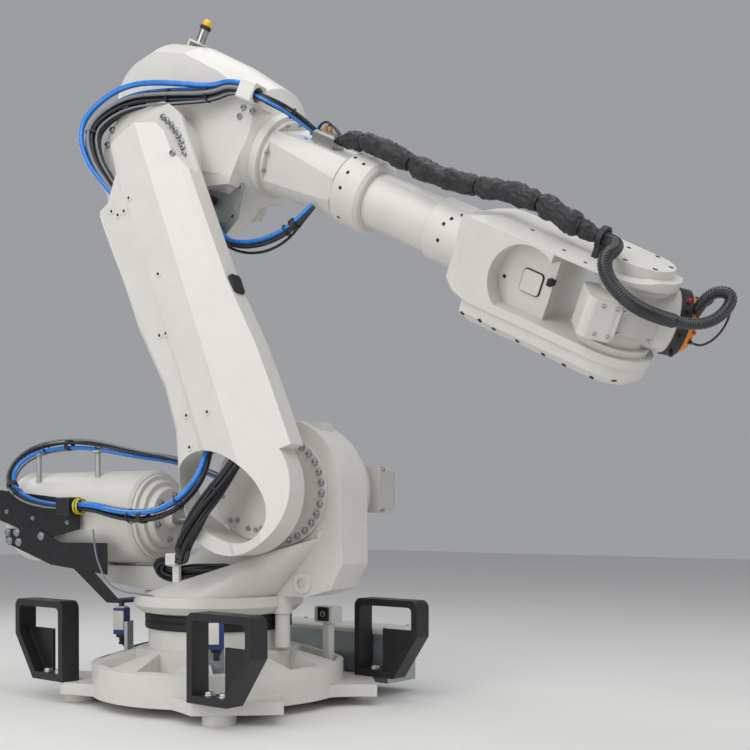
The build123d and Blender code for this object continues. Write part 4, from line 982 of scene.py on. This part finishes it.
class ARM_OT_fasteners(bpy.types.Operator):
    """Set the screws, bolts and cast bosses, and near-black discs that paint the shade in holes and recesses
    """

    bl_idname = "arm.fasteners"
    bl_label = "Fasteners"

    def execute(self, context):
        size = context.scene.arm_bolts
        self.lower_arm(size)
        self.upper_arm(size)
        self.frame(size)
        self.base(size)
        self.fore_arm(size)
        return {"FINISHED"}

    def lower_arm(self, size):
        head = [(r * cos(radians(a)), 0, ELBOW + r * sin(radians(a))) for a, r in HEAD_BOLTS]
        head += [(x, 0, ELBOW + z) for x, z in HEAD_LEFT]
        rows = seated("gear2_ring", LOWER, FRONT, circle("xz", (0, 0, 0), 182, 30))
        fasteners("gear_ring_screws", CAP_SCREW, rows, size.ring, "zinc", "lower_arm")
        rows = seated("lower_arm", LOWER, FRONT, head)
        rows += seated("lower_arm", LOWER, FRONT, on_face(WINDOW_BOLTS), 0.8)
        fasteners("lower_arm_screws", CAP_SCREW, rows, size.plate, "zinc", "lower_arm")
        rows = seated("lower_arm", LOWER, FRONT, on_face(ARM_BOSSES))
        fasteners("lower_arm_bosses", BOSS, rows, size.boss, "paint", "lower_arm", 20)
        # Painted shade: a near-black disc in each boss stands in for the dark inside its hole
        fasteners("boss_holes", DISHED_DISC, rows, size.boss * 0.5, "dark", "lower_arm", 20)

    def upper_arm(self, size):
        rows = seated("arm_house", UPPER, BACK, circle("xz", (0, 0, 0), 168, 24))
        rows += seated("arm_house", UPPER, FRONT, on_face(HOUSE_SCREWS))
        fasteners("arm_house_screws", CAP_SCREW, rows, size.plate, "zinc", "upper_arm")
        x4, z4 = AXIS4_MOTOR
        rows = seated("axis3_motor", UPPER, BACK, on_face(MOTOR_CORNERS))
        rows += seated("axis4_motor", UPPER, BACK, [(x + x4, 0, z + z4) for x, z in MOTOR_CORNERS])
        fasteners("upper_motor_screws", CAP_SCREW, rows, size.small, "zinc", "upper_arm")

    def frame(self, size):
        rows = seated("turntable_frame", ROW, BACK, circle("xz", SHOULDER, 168, 16))
        rows += seated("balancer_front", ROW, AHEAD, circle("yz", (0, *CYLINDER), 84, 6, 20))
        rows += seated("balancer_body", ROW, BEHIND, circle("yz", (-800, *CYLINDER), 128, 8))
        rows += seated("axis2_motor", ROW, AHEAD, [(500, y, z) for y in (212, 312) for z in (712, 860)], 0.8)
        fasteners("frame_screws", CAP_SCREW, rows, size.plate, "zinc", "frame")
        rows = seated("turntable_frame", ROW, FRONT, [(412, -60, 451)])
        fasteners("frame_boss", BOSS, rows, size.boss * 3, "paint", "frame", 32)
        rows = seated("cable_shelf", ROW, FRONT, on_face(SHELF_BOLTS, SHELF_FACE))
        fasteners("shelf_bolts", HEX_BOLT, rows, size.plate * 1.25, "zinc", "frame", 24)
        rows = seated("cable_shelf", ROW, FRONT, on_face(SHELF_SCREWS, SHELF_FACE))
        fasteners("shelf_screws", CAP_SCREW, rows, size.small, "zinc", "frame")

    def base(self, size):
        rows = [(BASE, (sx * POCKET_BOLT_X, sy * y, POCKET_FLOOR), UP)
                for sx, sy in POCKET_CORNERS for y in POCKET_BOLT_Y]
        fasteners("pocket_bolts", HEX_BOLT, rows, size.pocket, "zinc", "base", 24)
        rows = seated("connection_cover", BASE, UP,
                      [(x, y, 200) for x in (-628, -486) for y in (-410, -140, 140, 410)])
        fasteners("box_screws", HEX_BOLT, rows, size.small, "zinc", "base", 24)
        rows = seated("connection_box", BASE, BEHIND, [(-600, y, 150) for y in (-320, -230, -140, 150, 250)])
        fasteners("box_sockets", SOCKET, rows, size.pocket * 1.2, "black_plastic", "base",
                  24)

    def fore_arm(self, size):
        # Painted shade: near-black discs on the collar's, neck's and fork's holes stand in for the dark
        # inside them
        rows = seated_round("collar", FORE, COLLAR_HOLES) + seated_round("wrist_fork", FORE, NECK_HOLES)
        rows += seated("wrist_fork", FORE, UP, [(x, y, 0) for x, y in BAND_HOLES])
        rows += seated("wrist_fork", FORE, FRONT, [(1406, 0, -33)])
        fasteners("fore_arm_plugs", DISHED_DISC, rows, size.small, "dark", "fore_arm", 20)
        # Painted shade: near-black discs in the covers' screw recesses stand in for the dark inside them
        rows = seated("fork_cover_lower", FORE, FRONT, on_face(COVER_SCREWS), lean=True)
        rows += seated("fork_cover_lower", FORE, BACK, on_face(COVER_SCREWS), lean=True)
        rows += seated("fork_cover_upper", FORE, UP, circle("xy", (WRIST, 0, 0), 92, 6, 22))
        fasteners("cover_recesses", DISHED_DISC, rows, size.small * 1.3, "dark", "fore_arm", 20)
        rows = seated("root_tube", FORE, AHEAD, circle("yz", (0, 0, 0), 126, 12, 15))
        fasteners("fore_arm_screws", CAP_SCREW, rows, size.small, "zinc", "fore_arm")
        rows = seated("axis6_motor", TILTED, FRONT, [(x, 0, z) for x in (-30, 66) for z in (-34, 34)])
        rows += seated("tilt_housing", TILTED, FRONT, [(x, 0, z) for x in (-102, -60) for z in (44, -44)])
        fasteners("tilt_screws", CAP_SCREW, rows, size.small, "zinc", "tilt")


# Sections of the turned rings, (radius, height) in millimetres, each closed
SEAL = ((262.2, 276), (272, 278), (274, 284), (274, 303), (271, 305), (271, 308), (274, 310), (274, 328),
        (271, 333), (262.2, 333), (262.2, 276))
DISC_RIM = ((76.3, 185), (88, 185), (92, 188), (92, 198), (89, 201), (80, 201), (76.3, 198), (76.3, 185))
LAMP_RING = ((18, 8), (20.5, 9), (21, 11), (21, 20), (19, 23), (16.2, 24), (16.2, 8), (18, 8))
# Switches on the base: degrees round it and the corners of the pale cover, in the switch's own frame
SWITCHES = ((-64, (379, 4, 252), (423, 29, 326)), (46, (398, -29, 252), (428, 10, 326)))
SWITCH_OUT = 400


class ARM_OT_base_parts(bpy.types.Operator):
    """Fit the turntable's seal, the limit switches, the marker's target and the thin leads"""

    bl_idname = "arm.base_parts"
    bl_label = "Base parts"

    def execute(self, context):
        size = context.scene.arm_bolts
        turned_piece("turntable_seal", SEAL, 96, "dark", "base")
        pale, dark = bmesh.new(), bmesh.new()
        glands, caps = [], []
        for turn, low, high in SWITCHES:
            here = Matrix.Rotation(radians(turn), 4, "Z")
            add_block(pale, here, low, high, 3)
            add_block(pale, here, (380, -20, 334), (420, 20, 342), 3)
            add_block(dark, here, (384, -18, 222), (416, 18, 236), 3)
            glands.append((here, (SWITCH_OUT, 0, 224), DOWN))
            caps.append((here, (SWITCH_OUT, 0, 340), UP))
        formed_piece(pale, "switch_covers", "white_plastic", "base")
        formed_piece(dark, "switch_rollers", "black_plastic", "base")
        fasteners("switch_glands", FITTING, glands, size.gland, "black_plastic", "base", 24)
        fasteners("switch_caps", FITTING, caps, size.cap, "zinc", "base", 24)
        bm = bmesh.new()
        add_block(bm, BASE, (-235, 292, 296), (-228, 346, 348), 2)
        formed_piece(bm, "marker_plate", "black_metal", "base")
        rows = [(BASE, (-228, 319, 322), AHEAD)]
        fasteners("marker_target", DISHED_DISC, rows, size.gland, "zinc", "base", 24)
        thin_leads(context, "base", (("switch_lead_1", "cable"), ("switch_lead_2", "grey_lead")))
        thin_leads(context, "frame", (("deck_lead", "grey_lead"),))
        return {"FINISHED"}


# Fittings on the valve block, x and y, and on the tool disc, y and z on its face or round its rim
VALVE_TOPS = ((472, 26), (492, 8), (488, 44))
VALVE_KNOBS = ((518, 20), (536, 24))
DISC_FITTINGS = ((18, 82), (-37, 75), (-76, 36), (-80, -26), (60, 58))
RIM_FITTINGS = ((-92, 73), (-129, -9), (-80, -70))
DISC_PLUGS = ((-58, 62), (-12, 86), (-84, 6))
RIM_PLUGS = ((-62, 92),)
DISC_FACE, RIM_MIDDLE, RIM_RADIUS = 200.5, 166, 104


def disc_places(on_disc, on_rim):
    """Places on the tool disc's face and round its rim."""
    rows = [(TILTED, (DISC_FACE, y, z), AHEAD) for y, z in on_disc]
    for y, z in on_rim:
        way = Vector((0, y, z)).normalized()
        rows.append((TILTED, Vector((RIM_MIDDLE, 0, 0)) + way * RIM_RADIUS, way))
    return rows


class ARM_OT_air_parts(bpy.types.Operator):
    """Fit the air fittings and thin tubes on the valve block and the tool disc"""

    bl_idname = "arm.air_parts"
    bl_label = "Air parts"

    def execute(self, context):
        size = context.scene.arm_bolts.fitting
        rows = [(FORE, (505, y, 128), BEHIND) for y in (-22, 0, 22)]
        rows += [(FORE, (x, y, 104), UP, 1.15) for x, y in VALVE_TOPS]
        fasteners("valve_fittings", FITTING, rows, size, "brass", "fore_arm", 24)
        rows = [(FORE, (x, y, 148), UP) for x, y in VALVE_KNOBS]
        fasteners("valve_knobs", FITTING, rows, size * 0.8, "orange", "fore_arm", 24)
        thin_leads(context, "fore_arm", (
            ("valve_tube_1", "cable_blue"), ("valve_tube_2", "cable"), ("valve_tube_3", "cable"),
        ))
        rows = disc_places(DISC_FITTINGS, RIM_FITTINGS)
        fasteners("disc_fittings", FITTING, rows, size * 0.85, "black_plastic", "flange", 24)
        thin_leads(context, "flange", [("disc_tube_%d" % i, "cable") for i in (1, 2, 3)])
        rows = disc_places(DISC_PLUGS, RIM_PLUGS)
        fasteners("disc_plugs", FITTING, rows, size * 0.75, "red_plug", "flange", 24)
        turned_piece("disc_rim", DISC_RIM, 64, "orange", "flange",
                     TILTED @ Matrix.Rotation(radians(90), 4, "Y"))
        return {"FINISHED"}


# Connectors and holes on the upper arm's plate, clips over the cylinder, and blank film on the root tube
LAMP_PLACE = (-195, 0, 500)
PLATE_FACE = -106
PLATE_HOLES = ((204, 44), (318, 44), (336, -60), (238, -150), (204, -110))
CYLINDER_CLIPS = ((-430, -190, 936), (-715, -214, 930))
CLIP_FOOT = 800
CLAMP_X = (-392, -378)
FILMS = ((461, 109), (505, 111))


class ARM_OT_trim(bpy.types.Operator):
    """Fit the lamp's ring, connectors, clips, clamp, gasket, stop, tilt cover and blank film"""

    bl_idname = "arm.trim"
    bl_label = "Trim"

    def execute(self, context):
        size = context.scene.arm_bolts
        turned_piece("lamp_ring", LAMP_RING, 40, "black_plastic", "upper_arm",
                     UPPER @ Matrix.Translation(Vector(LAMP_PLACE) * MM))
        rows = [(UPPER, (290, -119.3, -110), (55, 0, -40)), (UPPER, (232, PLATE_FACE, -40), FRONT)]
        fasteners("wrist_plugs", FITTING, rows, size.plug, "black_plastic", "upper_arm", 24)
        # Painted shade: near-black discs stand in for the dark inside the plate's holes
        rows = [(UPPER, (x, PLATE_FACE, z), FRONT) for x, z in PLATE_HOLES]
        fasteners("plate_holes", DISHED_DISC, rows, size.hole, "dark", "upper_arm", 20)
        bm = bmesh.new()
        for x, y, top in CYLINDER_CLIPS:
            add_block(bm, ROW, (x - 9, y - 3, CLIP_FOOT), (x + 9, y + 3, top), 2)
            add_block(bm, ROW, (x - 16, y - 12, top - 4), (x + 16, y + 12, top + 1), 2)
        formed_piece(bm, "cylinder_clips", "motor", "frame")
        rows = [(ROW, (x, -333, 725), AHEAD) for x in CLAMP_X]
        fasteners("shelf_clamp", TIE, rows, size.clamp, "clamp", "frame", 24, loop=True)
        tilt_side = TILTED @ Matrix.Rotation(radians(90), 4, "X")
        for name, space, centre, half, corner, mat, body, slot in (
            ("hatch_gasket", FORE, (1505, -80, -14), (38, 3.5, 38), 14, "dark", "fore_arm", "black_plastic"),
            ("rubber_stop", FORE, (1570, -82, 12), (9, 16, 12), 5, "dark", "fore_arm", "black_plastic"),
            ("tilt_cover", tilt_side, (-94, 0, 80), (56, 62, 79), 30, "paint", "tilt", "paint"),
        ):
            bm = bmesh.new()
            add_rounded_plate(bm, space, centre, half, corner)
            formed_piece(bm, name, mat, body)
        bm = bmesh.new()
        for x, turn in FILMS:
            here = FORE @ Matrix.Rotation(radians(turn), 4, "X")
            place = seated("root_tube", here, BACK, [(x, 0, 0)])[0][1]
            y = (here.inverted() @ (place * MM)).y / MM
            add_block(bm, here, (x - 15, y - 3, -13), (x + 15, y + 0.8, 13), 0.4)
        formed_piece(bm, "blank_plates", "label", "fore_arm")
        return {"FINISHED"}


# Stage: lamps as place and width in metres and power in watts, and the camera at the photograph's angle
FLOOR_HALF = 14.0
ROOM_LIGHT = 0.36
LAMP_AIM = Vector((-0.1, 0.5, 1.1))
LAMPS = {
    "key": ((3.4, 1.2, 4.6), 3.2, 88),
    "front": ((5.2, 0.6, 1.9), 3.0, 74),
    "top": ((-0.6, 0.4, 5.2), 3.6, 58),
    "left": ((0.6, -3.8, 2.6), 2.6, 36),
    "right": ((-1.6, 4.8, 2.2), 2.6, 30),
    "wrist": ((0.9, 3.6, 4.3), 1.8, 34),
}
CAMERA = {"lens": 54.6, "sensor_width": 36.0, "shift_x": 0.0113, "shift_y": 0.206}
CAMERA_PLACE = (2.923, 3.179, 0.698)
CAMERA_WAY = Vector((-0.766, -0.643, -0.014))


def facing(obj, place, way):
    obj.location = place
    obj.rotation_euler = way.to_track_quat("-Z", "Y").to_euler()


class ARM_OT_stage(bpy.types.Operator):
    """Set the floor, the lamps and the camera"""

    bl_idname = "arm.stage"
    bl_label = "Stage"

    def execute(self, context):
        scene = context.scene
        look = scene.arm_stage
        scene.view_settings.view_transform = "Standard"
        bm = bmesh.new()
        for x, y in ((-1, -1), (1, -1), (1, 1), (-1, 1)):
            bm.verts.new((x * FLOOR_HALF, y * FLOOR_HALF, 0.0))
        bm.faces.new(bm.verts)
        floor = linked("floor", mesh_from(bm, "floor"))
        # Sealed screed: pale, matt and almost even
        floor.data.materials.append(
            finish("pale_floor_screed", look.floor, 0.75, patch=900, vary=0.012, depth=0.02))
        world = bpy.data.worlds.new("studio")
        world.use_nodes = True
        room = world.node_tree.nodes["Background"].inputs
        room["Color"].default_value = (*look.sky, 1.0)
        room["Strength"].default_value = ROOM_LIGHT * look.light
        scene.world = world
        for name, (place, wide, power) in LAMPS.items():
            lamp = bpy.data.lights.new(name, "AREA")
            lamp.energy = power * look.light
            lamp.size = wide
            facing(linked(name, lamp), place, LAMP_AIM - Vector(place))
        camera = bpy.data.cameras.new("photo_view")
        for key, value in CAMERA.items():
            setattr(camera, key, value)
        scene.camera = linked("photo_view", camera)
        facing(scene.camera, CAMERA_PLACE, CAMERA_WAY)
        return {"FINISHED"}


class ARM_PT_panel(bpy.types.Panel):
    """The arm's dressing steps and settings"""

    bl_label = "Handling Arm"
    bl_idname = "ARM_PT_panel"
    bl_space_type = "VIEW_3D"
    bl_region_type = "UI"
    bl_category = "Handling Arm"

    def draw(self, context):
        for step in STEPS:
            self.layout.operator(step.bl_idname)
        for group, settings in SETTINGS.items():
            box = self.layout.box()
            for key in settings.__annotations__:
                box.prop(getattr(context.scene, group), key)


STEPS = (
    ARM_OT_finishes, ARM_OT_bundles, ARM_OT_sleeve, ARM_OT_hose, ARM_OT_fasteners, ARM_OT_base_parts,
    ARM_OT_air_parts, ARM_OT_trim, ARM_OT_stage,
)
SETTINGS = {
    "arm_finish": ArmFinishSettings, "arm_cables": ArmCableSettings, "arm_bolts": ArmBoltSettings,
    "arm_stage": ArmStageSettings,
}


def register():
    for group, settings in SETTINGS.items():
        bpy.utils.register_class(settings)
        setattr(bpy.types.Scene, group, bpy.props.PointerProperty(type=settings))
    for step in STEPS:
        bpy.utils.register_class(step)
    bpy.utils.register_class(ARM_PT_panel)


def unregister():
    bpy.utils.unregister_class(ARM_PT_panel)
    for step in reversed(STEPS):
        bpy.utils.unregister_class(step)
    for group, settings in SETTINGS.items():
        delattr(bpy.types.Scene, group)
        bpy.utils.unregister_class(settings)


def main():
    register()
    bpy.ops.arm.finishes()
    bpy.ops.arm.bundles()
    bpy.ops.arm.sleeve()
    bpy.ops.arm.hose()
    bpy.ops.arm.fasteners()
    bpy.ops.arm.base_parts()
    bpy.ops.arm.air_parts()
    bpy.ops.arm.trim()
    bpy.ops.arm.stage()


if __name__ == "__main__":
    main()
